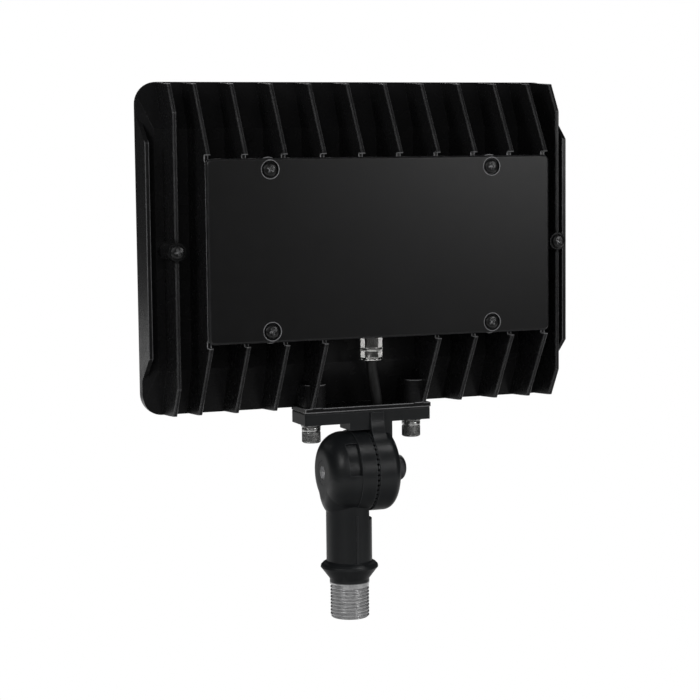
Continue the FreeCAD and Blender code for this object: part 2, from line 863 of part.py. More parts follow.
def drawFlare(sketch, side, flat, bend):
    # hollow fillet between a flat side of the arm and the round of the disc, in the YZ plane
    centreZ = flareHeight(flat, bend).value
    flat = flat.value
    bend = bend.value
    centreY = flat + bend
    share = size("discRadius").value / (size("discRadius").value + bend)
    ends = (math.pi, math.atan2(-centreZ, -centreY) + 2 * math.pi)
    middle = sum(ends) / 2
    high = FreeCAD.Vector(side * flat, pivotZ.value + centreZ, 0)
    through = FreeCAD.Vector(
        side * (centreY + bend * math.cos(middle)), pivotZ.value + centreZ + bend * math.sin(middle), 0
    )
    low = FreeCAD.Vector(side * centreY * share, pivotZ.value + centreZ * share, 0)
    foot = FreeCAD.Vector(side * (flat - 2), pivotZ.value + centreZ * share, 0)
    head = FreeCAD.Vector(side * (flat - 2), pivotZ.value + centreZ, 0)
    sketch.addGeometry(
        [
            Part.Arc(high, through, low),
            Part.LineSegment(low, foot),
            Part.LineSegment(foot, head),
            Part.LineSegment(head, high),
        ],
        False,
    )


for side in (-1, 1):
    flareSketch = newSketch(upper, "YZ", toothRoot)
    drawFlare(flareSketch, side, size("armHalfDepth"), size("armFlare"))
    extrude(upper, flareSketch, "YZ", toothRoot, size("discWall") - size("discRound"))
ribDepth = size("ribRise") - size("barRear")
ribEnd = toothRoot + size("ribWidth")
block(
    upper,
    "XY",
    pivotZ + flareHeight(ribDepth, size("ribFlare")),
    barTop - 0.6,
    (toothRoot, -ribDepth),
    (ribEnd, size("barRear") + 1),
)
flareSketch = newSketch(upper, "YZ", toothRoot)
drawFlare(flareSketch, -1, ribDepth, size("ribFlare"))
extrude(upper, flareSketch, "YZ", toothRoot, ribEnd)
rings(upper, "YZ", faceGap, toothRoot, [pivotSpot], size("toothOuter"), size("toothInner"))
rods(upper, "YZ", faceGap, toothRoot, [pivotSpot], size("hubRadius"))
sketch = newSketch(upper, "YZ", faceGap)
drawCircle(sketch, pivotSpot, size("wirewayOuter"))
drawCircle(sketch, pivotSpot, size("hubRadius"))
extrude(upper, sketch, "YZ", faceGap, size("upperWirewayDepth"), True)
rods(upper, "YZ", faceGap, size("discWall"), [pivotSpot], size("pivotRadius") + size("pivotRunning"), True)
rods(upper, "XY", pivotZ + size("hubRadius") + 2, barTop, [cableSpot], size("cableHoleRadius"), True)
rods(upper, "XY", barBottom, barTop, barBolts, size("boltHoleRadius"), True)


def cutTeeth(body, crest, root, height, outward):
    # radial V grooves, patterned about an axis along X through the pivot
    doc.recompute()
    half = size("toothWidth") / 2
    low = height + size("toothInner") - 1
    high = height + size("discRadius") + 1
    sketch = newSketch(body, "XY", low)
    edge = crest + outward * 0.05
    drawPolygon(sketch, [(edge, -half), (root + outward * 0.1, 0), (edge, half)])
    groove = extrude(body, sketch, "XY", low, high, True)
    line = newSketch(body, "XZ", 0, (0, height))
    pattern = body.newObject("PartDesign::PolarPattern", body.Label + "_teeth")
    pattern.Originals = [groove]
    pattern.Axis = (line, ["H_Axis"])
    pattern.Angle = 360
    pattern.setExpression("Occurrences", "sizes.toothCount")
    body.Tip = pattern
    return pattern


cutTeeth(upper, faceGap, toothRoot, pivotZ, -1)


# Bracket gasket, bolts and washers
seal = newBody("bracket_gasket")
sketch = newSketch(seal, "XY", barTop)
drawRectangle(
    sketch,
    (-size("barHalfLength") + size("gasketInset"), size("barRear") + size("gasketInset")),
    (size("barHalfLength") - size("gasketInset"), size("barFront") - size("gasketInset")),
)
for centre in barBolts:
    drawCircle(sketch, centre, size("boltHoleRadius"))
drawCircle(sketch, cableSpot, size("cableHoleRadius"))
extrude(seal, sketch, "XY", barTop, flangeBottom)

washerBottom = barBottom - size("flatWasherWall")
springBottom = washerBottom - size("springWasherWall")
headBottom = springBottom - size("boltHeadHeight")
washers = newBody("flat_washers")
rings(washers, "XY", washerBottom, barBottom, barBolts, size("flatWasherRadius"), boltHole)

springs = newBody("spring_washers")
rings(springs, "XY", springBottom, washerBottom, barBolts, size("springWasherRadius"), boltHole)
half = size("springWasherSplit") / 2
lean = size("springWasherWall") / 3
splitRear = size("barBoltY") - size("springWasherRadius") - 1
sketch = newSketch(springs, "XZ", splitRear)
for centre, _ in barBolts:
    drawPolygon(
        sketch,
        [
            (centre - half - lean, springBottom),
            (centre + half - lean, springBottom),
            (centre + half + lean, washerBottom),
            (centre - half + lean, washerBottom),
        ],
    )
extrude(springs, sketch, "XZ", splitRear, size("barBoltY") - size("boltRadius") + 1, True)

bolts = newBody("bracket_bolts")
rods(bolts, "XY", headBottom, springBottom, barBolts, size("boltHeadRadius"))
rods(bolts, "XY", springBottom, flangeTop + size("boltReach") - 1, barBolts, size("boltRadius"))
sketch = newSketch(bolts, "XY", headBottom)
for centre in barBolts:
    drawHexagon(sketch, centre, size("boltSocketFlat"))
extrude(bolts, sketch, "XY", headBottom, headBottom + size("boltSocketDepth"), True)


# Light chamber: pad, board, emitters, tray, glass, seal and bezel
padFront = floorFront + size("padWall")
boardFront = padFront + size("boardWall")
boardX = size("boardHalfWidth")
boardZ = size("boardHalfHeight")

thermal = newBody("thermal_pad")
block(thermal, "XZ", floorFront, padFront, (-boardX, -boardZ), (boardX, boardZ))
rods(thermal, "XZ", floorFront, padFront, boardScrews, size("smallHoleRadius"), True)

board = newBody("led_board")
block(board, "XZ", padFront, boardFront, (-boardX, -boardZ), (boardX, boardZ))
rods(board, "XZ", padFront, boardFront, boardScrews, size("smallHoleRadius"), True)

chips = newBody("led_chips")
rowCount = int(size("chipRows").value)
halfChip = size("chipSize") / 2
chipRow = size("chipPitchX") * (size("chipColumns") - 1)
chipX = -chipRow / 2
sketch = newSketch(chips, "XZ", boardFront)
for rowIndex in range(rowCount):
    z = size("chipPitchZ") * (rowIndex - (rowCount - 1) / 2)
    drawRectangle(sketch, (chipX - halfChip, z - halfChip), (chipX + halfChip, z + halfChip))
chipColumn = extrude(chips, sketch, "XZ", boardFront, boardFront + size("chipWall"))
repeat(chips, chipColumn, chipRow, size("chipColumns"))


def smallScrews(label, spots, seat, reach, towardFront):
    # pan screws; the head stands on its seat and the shank points the other way
    body = newBody(label)
    if towardFront:
        rods(body, "XZ", seat - size("smallHeadHeight"), seat, spots, size("smallHeadRadius"))
        rods(body, "XZ", seat, seat + reach, spots, size("smallShank"))
    else:
        rods(body, "XZ", seat, seat + size("smallHeadHeight"), spots, size("smallHeadRadius"))
        rods(body, "XZ", seat - reach, seat, spots, size("smallShank"))
    return body


boardReach = boardFront - floorFront + size("boardScrewReach") - 0.4
smallScrews("board_screws", boardScrews, boardFront, boardReach, False)

tray = newBody("reflector_tray")
trayOuter = (size("trayHalfWidth"), size("trayHalfHeight"))
trayInner = (size("trayOpenWidth"), size("trayOpenHeight"))
frame(tray, boardFront, boardFront + size("trayWall"), trayOuter, trayInner)
rods(tray, "XZ", boardFront, boardFront + size("trayWall"), boardScrews, size("trayHoleRadius"), True)

lens = newBody("front_lens")
lensX = size("lensHalfWidth")
lensZ = size("lensHalfHeight")
lensFront = size("lensSeat") + size("lensWall")
block(lens, "XZ", size("lensSeat"), lensFront, (-lensX, -lensZ), (lensX, lensZ))
roundEdges(lens, size("lensCorner"), lambda edge: isStraight(edge, axisY))

lensSeal = newBody("lens_gasket")
band = size("sealBand")
frame(lensSeal, lensFront, bezelRear, (lensX, lensZ), (lensX - band, lensZ - band))

bezel = newBody("bezel_frame")
bezelX = size("bezelHalfWidth")
bezelZ = size("bezelHalfHeight")
band = size("bezelBand")
frame(bezel, bezelRear, size("caseFront"), (bezelX, bezelZ), (bezelX - band, bezelZ - band))
roundEdges(bezel, size("bezelCorner"), lambda edge: isStraight(edge, axisY) and abs(edge.Vertexes[0].X) > bezelX.value - 1)
rods(bezel, "XZ", bezelRear, size("caseFront"), bezelScrews, size("smallHoleRadius"), True)
sideHole = size("panShank") + size("screwPlay")
rods(bezel, "XZ", bezelRear, bezelRear + size("sideScrewReach") + 0.2, sideScrews, sideHole, True)
coneSeat = size("caseFront") - size("coneDepth")
rods(bezel, "XZ", coneSeat, size("caseFront"), bezelScrews, size("coneRadius") + size("screwPlay"), True)

bezelFixings = newBody("bezel_screws")
rods(bezelFixings, "XZ", coneSeat, size("caseFront") - 0.2, bezelScrews, size("coneRadius"))
rods(bezelFixings, "XZ", bezelRear - size("bezelScrewReach"), coneSeat, bezelScrews, size("smallShank"))


# Driver and splice connectors in the rear box
driver = newBody("led_driver")
driverX = size("driverHalfWidth")
driverRear = size("floorRear") - size("driverDepth")
block(
    driver,
    "XZ",
    driverRear,
    size("floorRear"),
    (-driverX, size("driverLow")),
    (driverX, size("driverHigh")),
)
roundEdges(driver, size("driverRound"), lambda edge: isStraight(edge, axisY))
tabReach = driverX + size("driverTab")
block(
    driver,
    "XZ",
    size("floorRear") - size("driverTabWall"),
    size("floorRear"),
    (-tabReach, driverMiddle - 8),
    (tabReach, driverMiddle + 8),
)
rods(driver, "XZ", size("floorRear") - size("driverTabWall"), size("floorRear"), driverScrews, smallHole, True)
tabRear = size("floorRear") - size("driverTabWall")
driverReach = size("driverTabWall") + size("driverScrewReach") - 0.3
smallScrews("driver_screws", driverScrews, tabRear, driverReach, True)

connectors = newBody("lead_connectors")
sketch = newSketch(connectors, "XZ", size("floorRear") - size("connectorDepth"))
for step in (-1, 0, 1):
    z = size("connectorPitch") * step
    low = (size("connectorX"), z - size("connectorHeight") / 2)
    high = (size("connectorX") + size("connectorWidth"), z + size("connectorHeight") / 2)
    drawRectangle(sketch, low, high)
extrude(connectors, sketch, "XZ", size("floorRear") - size("connectorDepth"), size("floorRear"))


# Lower knuckle: threaded nipple, bead, stem, dome and serrated face, in the stem frame
lower = newBody("lower_knuckle", onHead=False)
thread = size("threadRadius")
bead = size("beadRadius")
stem = size("stemRadius")
beadZ = size("beadHeight")
pivotHigh = size("pivotHeight")
faceX = size("headSide") - faceGap
rootX = size("headSide") - toothRoot
domeX = size("headSide") - size("domeReach")
stemProfile = [
    (0, -size("threadLength")),
    (thread - size("threadChamfer"), -size("threadLength")),
    (thread, -size("threadLength") + size("threadChamfer")),
    (thread, -size("collarLength")),
    (size("collarRadius"), -size("collarLength")),
    (size("collarRadius"), 0),
    (bead - 0.9, beadZ - 1.1),
    (bead, beadZ),
    (bead - 0.2, beadZ + 1.1),
    (bead - 1.3, size("beadTop") - 0.8),
    (stem + 0.7, size("beadTop") - 0.1),
    (stem, size("beadTop") + 0.5),
    (stem, size("stemShoulder") - 1.2),
    (stem - 1.2, size("stemShoulder")),
    (0, size("stemShoulder")),
]
spin(lower, "XZ", origin, stemProfile, "V_Axis")
rods(lower, "XY", size("stemShoulder") - 2, pivotHigh, [origin], stem)
block(
    lower,
    "XY",
    size("stemShoulder"),
    pivotHigh + 1,
    (rootX, -stem - 1),
    (stem + 1, stem + 1),
    remove=True,
)
lowerSpot = (0, pivotHigh)
rods(lower, "YZ", domeX, rootX, [lowerSpot], size("domeRadius"))
roundEdges(lower, size("domeRound"), lambda edge: isCircle(edge, size("domeRadius"), "x", domeX))
rods(lower, "YZ", asSize(0), rootX, [lowerSpot], size("discRadius"))
block(
    lower,
    "XY",
    size("beadTop"),
    size("stemShoulder") + 3,
    (-size("stemRidgeWidth") / 2, -stem - size("stemRidge")),
    (size("stemRidgeWidth") / 2, -stem + 1),
)
rings(lower, "YZ", rootX, faceX, [lowerSpot], size("toothOuter"), size("toothInner"))
rods(lower, "YZ", rootX, faceX, [lowerSpot], size("hubRadius"))
sketch = newSketch(lower, "XY", pivotHigh + 0.5)
pocketFloor = -size("domeRadius") + size("domePocketDepth")
drawRectangle(sketch, (-size("domePocketWidth"), -size("discRadius") - 1), (-0.2, pocketFloor))
domePocket = lower.newObject("PartDesign::Groove", "dome_pocket")
domePocket.Profile = sketch
domePocket.ReferenceAxis = (sketch, ["H_Axis"])
domePocket.setExpression("Angle", "sizes.domePocketSweep")
domePocket.Reversed = True
sketch = newSketch(lower, "YZ", faceX - size("lowerWirewayDepth"))
drawCircle(sketch, lowerSpot, size("wirewayOuter"))
drawCircle(sketch, lowerSpot, size("hubRadius"))
extrude(lower, sketch, "YZ", faceX - size("lowerWirewayDepth"), faceX, True)
rods(lower, "XY", -size("threadLength"), size("wireBoreTop"), [origin], size("wireBoreRadius"), True)
rods(lower, "YZ", domeX, faceX, [lowerSpot], size("pivotRadius") + size("pivotRunning"), True)
headSeat = domeX + size("pivotHeadSeat")
rods(lower, "YZ", domeX, headSeat, [lowerSpot], size("pivotHeadRadius") + size("pivotHeadPlay"), True)
cutTeeth(lower, faceX, rootX, pivotHigh, 1)
doc.recompute()
sketch = newSketch(lower, "XZ", 0)
groove = size("threadPitch") * 0.36
start = -size("threadLength") - size("threadPitch")
drawPolygon(
    sketch,
    [
        (thread + 0.05, start - groove),
        (thread - size("threadDepth"), start - groove * 0.12),
        (thread - size("threadDepth"), start + groove * 0.12),
        (thread + 0.05, start + groove),
    ],
)
helix = lower.newObject("PartDesign::SubtractiveHelix", "nipple_thread")
helix.Profile = sketch
helix.ReferenceAxis = (sketch, ["V_Axis"])
helix.Mode = "pitch-height-angle"
helix.setExpression("Pitch", "sizes.threadPitch")
helix.setExpression("Height", (size("threadLength") - size("collarLength") + size("threadPitch") * 0.6).text)
helix.Angle = 0
helix.Reversed = False


# Pivot bolt, washer and domed nut
discSide = size("headSide") + size("discWall")
washerStart = discSide + size("facesApart")
nutStart = washerStart + size("pivotWasherWall")
nutEnd = nutStart + size("pivotNutWall")
pivot = newBody("pivot_bolt", onHead=False)
headFace = domeX + size("pivotHeadSunk")
rods(pivot, "YZ", headFace, headSeat, [lowerSpot], size("pivotHeadRadius"))
rods(pivot, "YZ", headSeat, nutEnd, [lowerSpot], size("pivotRadius"))
sketch = newSketch(pivot, "YZ", headFace)
drawHexagon(sketch, (asSize(0), pivotHigh), size("pivotSocketFlat"))
extrude(pivot, sketch, "YZ", headFace, headFace + size("pivotSocketDepth"), True)

pivotWasher = newBody("pivot_washer", onHead=False)
pivotHole = size("pivotRadius") + size("pivotRunning")
rings(pivotWasher, "YZ", washerStart, nutStart, [lowerSpot], size("pivotWasherRadius"), pivotHole)

pivotNut = newBody("pivot_nut", onHead=False)
nut = size("pivotNutRadius")
domeHigh = size("pivotNutDome")
nutProfile = [
    (nutStart, pivotHole),
    (nutStart, nut),
    (nutEnd, nut),
    (nutEnd + domeHigh * 0.5, nut * 0.86),
    (nutEnd + domeHigh * 0.85, nut * 0.55),
    (nutEnd + domeHigh, 0),
    (nutEnd + 0.05, 0),
    (nutEnd + 0.05, pivotHole),
]
spin(pivotNut, "XZ", (0, pivotHigh), nutProfile, "H_Axis")

doc.recompute()
os.makedirs("parts", exist_ok=True)
for item in doc.Objects:
    if "Invalid" in item.State or "Error" in item.State:
        raise SystemExit(f"{item.Label} is {item.State}")
for body in bodies:
    shape = body.Shape
    if shape.isNull() or not shape.isValid():
        raise SystemExit(f"{body.Label} has no valid shape")
    shape.exportStep(f"parts/{body.Label}.step")
    box = shape.BoundBox
    print(
        body.Label,
        len(shape.Solids),
        round(shape.Volume, 1),
        [round(v, 2) for v in (box.XMin, box.YMin, box.ZMin, box.XMax, box.YMax, box.ZMax)],
    )
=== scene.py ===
import bpy
import math
from mathutils import Euler, Matrix, Vector


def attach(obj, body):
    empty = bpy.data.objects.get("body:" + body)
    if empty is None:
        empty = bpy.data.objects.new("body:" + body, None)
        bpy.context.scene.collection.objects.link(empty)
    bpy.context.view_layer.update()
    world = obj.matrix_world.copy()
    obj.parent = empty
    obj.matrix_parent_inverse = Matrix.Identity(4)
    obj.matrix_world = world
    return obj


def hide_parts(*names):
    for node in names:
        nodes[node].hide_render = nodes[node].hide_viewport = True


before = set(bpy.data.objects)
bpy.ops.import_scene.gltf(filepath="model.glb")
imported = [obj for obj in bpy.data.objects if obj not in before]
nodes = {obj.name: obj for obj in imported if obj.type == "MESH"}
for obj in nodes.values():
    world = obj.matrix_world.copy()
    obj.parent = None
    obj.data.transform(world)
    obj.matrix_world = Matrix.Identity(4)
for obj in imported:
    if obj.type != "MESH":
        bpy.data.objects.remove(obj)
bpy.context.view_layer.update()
scene = bpy.context.scene
scene.view_settings.view_transform = "Standard"
print("frame loaded, nodes:", len(nodes))


# camera as solved from the photograph
cameraSetup = {
    "place": (-0.38494, -0.99511, 0.22929),
    "aim": (-0.010526, -0.03139, 0.126216),
    "roll": math.radians(0.623),
    "lens": 103.68, "sensor": 36, "clip": (0.01, 30),
}


def setCamera(setup):
    place = Vector(setup["place"])
    back = (place - Vector(setup["aim"])).normalized()
    side = Vector((0, 0, 1)).cross(back).normalized()
    rise = back.cross(side)
    c, s = math.cos(setup["roll"]), math.sin(setup["roll"])
    right = c * side - s * rise
    up = s * side + c * rise
    data = bpy.data.cameras.new("photoCamera")
    data.sensor_fit = "HORIZONTAL"
    data.sensor_width = setup["sensor"]
    data.lens = setup["lens"]
    data.clip_start, data.clip_end = setup["clip"]
    camera = bpy.data.objects.new("photoCamera", data)
    turn = Matrix((right, up, back)).transposed()
    camera.matrix_world = Matrix.Translation(place) @ turn.to_4x4()
    scene.collection.objects.link(camera)
    scene.camera = camera


setCamera(cameraSetup)
print("camera set")


# material helpers: every pattern reads Object coordinates
def newMaterial(name):
    material = bpy.data.materials.new(name)
    material.use_nodes = True
    shader = material.node_tree.nodes["Principled BSDF"]
    return material, material.node_tree, shader


def objectNoise(tree, scale, detail=2.0, stretch=(1, 1, 1)):
    coords = tree.nodes.new("ShaderNodeTexCoord")
    mapping = tree.nodes.new("ShaderNodeMapping")
    mapping.inputs["Scale"].default_value = stretch
    noise = tree.nodes.new("ShaderNodeTexNoise")
    noise.inputs["Scale"].default_value = scale
    noise.inputs["Detail"].default_value = detail
    tree.links.new(coords.outputs["Object"], mapping.inputs["Vector"])
    tree.links.new(mapping.outputs["Vector"], noise.inputs["Vector"])
    return noise.outputs["Fac"]


noiseSpan = (0.3, 0.7)  # nearly all of a noise lies between these


def ramp(tree, factor, stops):
    node = tree.nodes.new("ShaderNodeValToRGB")
    for i, (place, colour) in enumerate(stops):
        stop = node.color_ramp.elements[i] if i < 2 else node.color_ramp.elements.new(place)
        stop.position = place
        stop.color = (*colour, 1)
    tree.links.new(factor, node.inputs["Fac"])
    return node.outputs["Color"]


def mottle(tree, factor, dark, light):
    return ramp(tree, factor, list(zip(noiseSpan, (dark, light))))


def darker(colour, share):
    return tuple(share * v for v in colour)


def greys(stops):
    return [(place, (grey,) * 3) for place, grey in stops]


def spread(tree, factor, low, high):
    node = tree.nodes.new("ShaderNodeMapRange")
    node.inputs["From Min"].default_value, node.inputs["From Max"].default_value = noiseSpan
    node.inputs["To Min"].default_value = low
    node.inputs["To Max"].default_value = high
    tree.links.new(factor, node.inputs["Value"])
    return node.outputs["Result"]


def softEdge(tree, radius):
    node = tree.nodes.new("ShaderNodeBevel")  # rounds the look of sharp cast edges
    node.samples = 4
    node.inputs["Radius"].default_value = radius
    return node.outputs["Normal"]


def bump(tree, height, strength, distance, normal):
    node = tree.nodes.new("ShaderNodeBump")
    node.inputs["Strength"].default_value = strength
    node.inputs["Distance"].default_value = distance
    tree.links.new(height, node.inputs["Height"])
    tree.links.new(normal, node.inputs["Normal"])
    return node.outputs["Normal"]


# each coat's pale edge colour is a painted highlight along its outer edges
powderCoat = {
    "dark": (0.0085, 0.0085, 0.0087), "light": (0.0112, 0.0111, 0.0115), "edgeHighlightColour": (0.46, 0.46, 0.465),
    "rough": (0.25, 0.29), "peel": 1100, "depth": 0.12, "shine": 0.20, "edge": 0.00035, "edgeHighlight": 0.0006,
    # share of the painted edge highlight at each depth
    "rear": [(-0.031, 0.35), (-0.029, 1.0), (-0.010, 1.0), (-0.0043, 0.4), (-0.0025, 0.0)],
    # rims of the end screws, kept free of the painted edge highlight
    "highlightFreeSpots": [(-0.098, -0.0183, 0.1785), (0.116, -0.0183, 0.1785)], "highlightFreeReach": 0.0065,
}
lidCoat = {
    "dark": (0.0036, 0.0036, 0.0038), "light": (0.0046, 0.0046, 0.0049), "edgeHighlightColour": (0.42, 0.42, 0.43),
    "rough": (0.32, 0.35), "peel": 1300, "depth": 0.08, "shine": 0.30, "edge": 0.0004, "edgeHighlight": 0.0005,
}
screwCoat = {
    "dark": (0.0040, 0.0040, 0.0042), "light": (0.0060, 0.0060, 0.0062), "edgeHighlightColour": (0.22, 0.22, 0.22),
    "rough": (0.26, 0.34), "peel": 1500, "depth": 0.10, "shine": 0.40, "edge": 0.0002, "edgeHighlight": 0.0003,
}
castCoat = {
    "dark": (0.0080, 0.0089, 0.0097), "light": (0.0108, 0.0121, 0.0131), "edgeHighlightColour": (0.034, 0.036, 0.038),
    "rough": (0.33, 0.40), "peel": 900, "depth": 0.22, "shine": 0.34, "edge": 0.0004, "edgeHighlight": 0.0005,
}


def mixColours(tree, factor, first, second):
    node = tree.nodes.new("ShaderNodeMix")
    node.data_type = "RGBA"
    tree.links.new(factor, node.inputs["Factor"])
    tree.links.new(first, node.inputs["A"])
    tree.links.new(second, node.inputs["B"])
    return node.outputs["Result"]


edgeOpenness = {"samples": 8, "none": 0.93, "full": 0.68}  # openness seen from inside the body


def edgeMask(tree, reach):
    # rays sent into the body come out again only near its outer corners, so the painted highlight falls on those
    # corners and hollows stay without it
    inside = tree.nodes.new("ShaderNodeAmbientOcclusion")
    inside.inside = True
    inside.only_local = True
    inside.samples = edgeOpenness["samples"]
    inside.inputs["Distance"].default_value = reach
    mask = tree.nodes.new("ShaderNodeMapRange")
    mask.inputs["From Min"].default_value = edgeOpenness["none"]
    mask.inputs["From Max"].default_value = edgeOpenness["full"]
    tree.links.new(inside.outputs["AO"], mask.inputs["Value"])
    return mask.outputs["Result"]


def edgeHighlightByDepth(tree, stops):
    # the painted edge highlight is scaled by depth, fading out towards the deep corners of the case
    first, last = stops[0][0], stops[-1][0]
    coords = tree.nodes.new("ShaderNodeTexCoord")
    split = tree.nodes.new("ShaderNodeSeparateXYZ")
    tree.links.new(coords.outputs["Object"], split.inputs["Vector"])
    place = tree.nodes.new("ShaderNodeMapRange")
    place.inputs["From Min"].default_value = first
    place.inputs["From Max"].default_value = last
    tree.links.new(split.outputs["Y"], place.inputs["Value"])
    shares = [((depth - first) / (last - first), share) for depth, share in stops]
    return ramp(tree, place.outputs["Result"], greys(shares))


def awayFrom(tree, spot, reach):
    # 0 close to the spot, 1 beyond the reach
    coords = tree.nodes.new("ShaderNodeTexCoord")
    far = tree.nodes.new("ShaderNodeVectorMath")
    far.operation = "DISTANCE"
    far.inputs[1].default_value = spot
    tree.links.new(coords.outputs["Object"], far.inputs[0])
    share = tree.nodes.new("ShaderNodeMapRange")
    share.inputs["From Min"].default_value = 0.85 * reach
    share.inputs["From Max"].default_value = reach
    tree.links.new(far.outputs["Value"], share.inputs["Value"])
    return share.outputs["Result"]


def product(tree, first, second):
    node = tree.nodes.new("ShaderNodeMath")
    node.operation = "MULTIPLY"
    tree.links.new(first, node.inputs[0])
    tree.links.new(second, node.inputs[1])
    return node.outputs["Value"]


coatGrain = {"shade": 45, "edgeHighlight": 70, "gloss": 160, "bump": 0.00012}  # noise scales, and the height of the peel


def coatColour(tree, finish):
    shade = objectNoise(tree, coatGrain["shade"], detail=4)
    coat = mottle(tree, shade, finish["dark"], finish["light"])
    # painted highlight: the outer edges get a pale colour that stands in for light catching them
    edgeHighlight = objectNoise(tree, coatGrain["edgeHighlight"], detail=3)
    edgeHighlightColour = mottle(tree, edgeHighlight, darker(finish["edgeHighlightColour"], 0.6), finish["edgeHighlightColour"])
    mask = edgeMask(tree, finish["edgeHighlight"])
    if "rear" in finish:
        mask = product(tree, mask, edgeHighlightByDepth(tree, finish["rear"]))
    for spot in finish.get("highlightFreeSpots", []):
        mask = product(tree, mask, awayFrom(tree, spot, finish["highlightFreeReach"]))
    return mixColours(tree, mask, coat, edgeHighlightColour)


def coatSurface(tree, shader, finish, rounded):
    gloss = objectNoise(tree, coatGrain["gloss"], detail=3)
    tree.links.new(spread(tree, gloss, *finish["rough"]), shader.inputs["Roughness"])
    peel = objectNoise(tree, finish["peel"])
    tree.links.new(bump(tree, peel, finish["depth"], coatGrain["bump"], rounded), shader.inputs["Normal"])
    shader.inputs["Specular IOR Level"].default_value = finish["shine"]


def makeCoat(name, finish):
    material, tree, shader = newMaterial(name)
    tree.links.new(coatColour(tree, finish), shader.inputs["Base Color"])
    coatSurface(tree, shader, finish, softEdge(tree, finish["edge"]))
    return material


bareThread = {"edge": -0.0019, "blur": 0.0003, "metal": (0.78, 0.78, 0.785), "grain": 900, "stretch": (1, 1, 6)}


def makeStemCoat(name, finish, bare):
    # black coat above the thread, bare machined metal below
    material, tree, shader = newMaterial(name)
    coat = coatColour(tree, finish)
    coords = tree.nodes.new("ShaderNodeTexCoord")
    split = tree.nodes.new("ShaderNodeSeparateXYZ")
    tree.links.new(coords.outputs["Object"], split.inputs["Vector"])
    mask = tree.nodes.new("ShaderNodeMapRange")
    mask.inputs["From Min"].default_value = bare["edge"] + bare["blur"]
    mask.inputs["From Max"].default_value = bare["edge"] - bare["blur"]
    tree.links.new(split.outputs["Z"], mask.inputs["Value"])
    streak = objectNoise(tree, bare["grain"], detail=3, stretch=bare["stretch"])
    metal = mottle(tree, streak, darker(bare["metal"], 0.8), bare["metal"])
    tree.links.new(mixColours(tree, mask.outputs["Result"], coat, metal), shader.inputs["Base Color"])
    tree.links.new(mask.outputs["Result"], shader.inputs["Metallic"])
    coatSurface(tree, shader, finish, softEdge(tree, finish["edge"]))
    return material


metals = {
    "nickelPlate": {
        "colour": (0.90, 0.89, 0.87), "rough": (0.13, 0.19), "grain": 700, "stretch": (1, 1, 0.3), "edge": 0.0005,
        # corner colours: a painted highlight, paler than the plating, over a rougher finish
        "edgeHighlight": 0.0004, "cornerRough": 0.40, "edgeHighlightDark": (0.86, 0.86, 0.85), "edgeHighlightPale": (0.95, 0.95, 0.94),
    },
    "stainlessSteel": {
        "colour": (0.62, 0.62, 0.61), "rough": (0.22, 0.34), "grain": 900, "stretch": (1, 1, 0.25), "edge": 0.0004,
    },
    "socketSteel": {
        "colour": (0.80, 0.80, 0.81), "rough": (0.45, 0.58), "grain": 900, "stretch": (1, 1, 1), "edge": 0.0002,
    },
    # a lighter metal lining the cross recesses of the black screws: a painted highlight on the recess walls
    "recessHighlight": {
        "colour": (0.30, 0.30, 0.305), "rough": (0.42, 0.52), "grain": 900, "stretch": (1, 1, 1), "edge": 0.0002,
    },
    "blackenedNut": {
        "colour": (0.11, 0.11, 0.115), "rough": (0.50, 0.60), "grain": 900, "stretch": (1, 1, 1), "edge": 0.0003,
    },
}
metalRelief = {"bump": 0.1, "distance": 0.00005}


def makeMetal(name):
    # with the corner settings, the outer corners get a lighter painted highlight and are duller than the flats
    finish = metals[name]
    grain, stretch = finish["grain"], finish["stretch"]
    material, tree, shader = newMaterial(name)
    shader.inputs["Metallic"].default_value = 1.0
    tone = objectNoise(tree, grain, detail=3, stretch=stretch)
    shade = mottle(tree, tone, darker(finish["colour"], 0.82), finish["colour"])
    gloss = spread(tree, objectNoise(tree, grain * 0.4), *finish["rough"])
    if "edgeHighlight" in finish:
        corners = edgeMask(tree, finish["edgeHighlight"])
        bright = mottle(tree, tone, finish["edgeHighlightDark"], finish["edgeHighlightPale"])
        shade = mixColours(tree, corners, shade, bright)
        dull = tree.nodes.new("ShaderNodeMix")
        tree.links.new(corners, dull.inputs["Factor"])
        tree.links.new(gloss, dull.inputs["A"])
        dull.inputs["B"].default_value = finish["cornerRough"]
        gloss = dull.outputs["Result"]
    tree.links.new(shade, shader.inputs["Base Color"])
    tree.links.new(gloss, shader.inputs["Roughness"])
    fine = objectNoise(tree, grain * 1.7, stretch=stretch)
    relief = bump(tree, fine, metalRelief["bump"], metalRelief["distance"], softEdge(tree, finish["edge"]))
    tree.links.new(relief, shader.inputs["Normal"])
    return material


plastics = {
    "cableJacket": {
        "dark": (0.006, 0.006, 0.006), "light": (0.010, 0.010, 0.010), "rough": (0.5, 0.65), "grain": 1500,
    },
    "sealRubber": {
        "dark": (0.012, 0.012, 0.012), "light": (0.022, 0.022, 0.022), "rough": (0.6, 0.75), "grain": 1200,
        "bump": 0.3,
    },
    "driverCase": {"dark": (0.62, 0.62, 0.60), "light": (0.72, 0.72, 0.70), "rough": (0.4, 0.55), "grain": 900},
    "connectorShell": {"dark": (0.65, 0.30, 0.05), "light": (0.78, 0.40, 0.08), "rough": (0.3, 0.45), "grain": 900},
    "boardSolderMask": {"dark": (0.78, 0.78, 0.77), "light": (0.86, 0.86, 0.85), "rough": (0.35, 0.5), "grain": 700},
    "emitterPhosphor": {
        "dark": (0.80, 0.56, 0.10), "light": (0.92, 0.70, 0.18), "rough": (0.25, 0.4), "grain": 1500,
        "bump": 0.1, "coat": 0.4,
    },
    "emitterFrame": {"dark": (0.74, 0.74, 0.72), "light": (0.82, 0.82, 0.80), "rough": (0.35, 0.5), "grain": 1500},
    "trayWhite": {"dark": (0.80, 0.80, 0.80), "light": (0.88, 0.88, 0.88), "rough": (0.25, 0.35), "grain": 600},
}
plasticRelief = {"bump": 0.15, "distance": 0.0001, "edge": 0.0004}  # where a plastic names no bump of its own


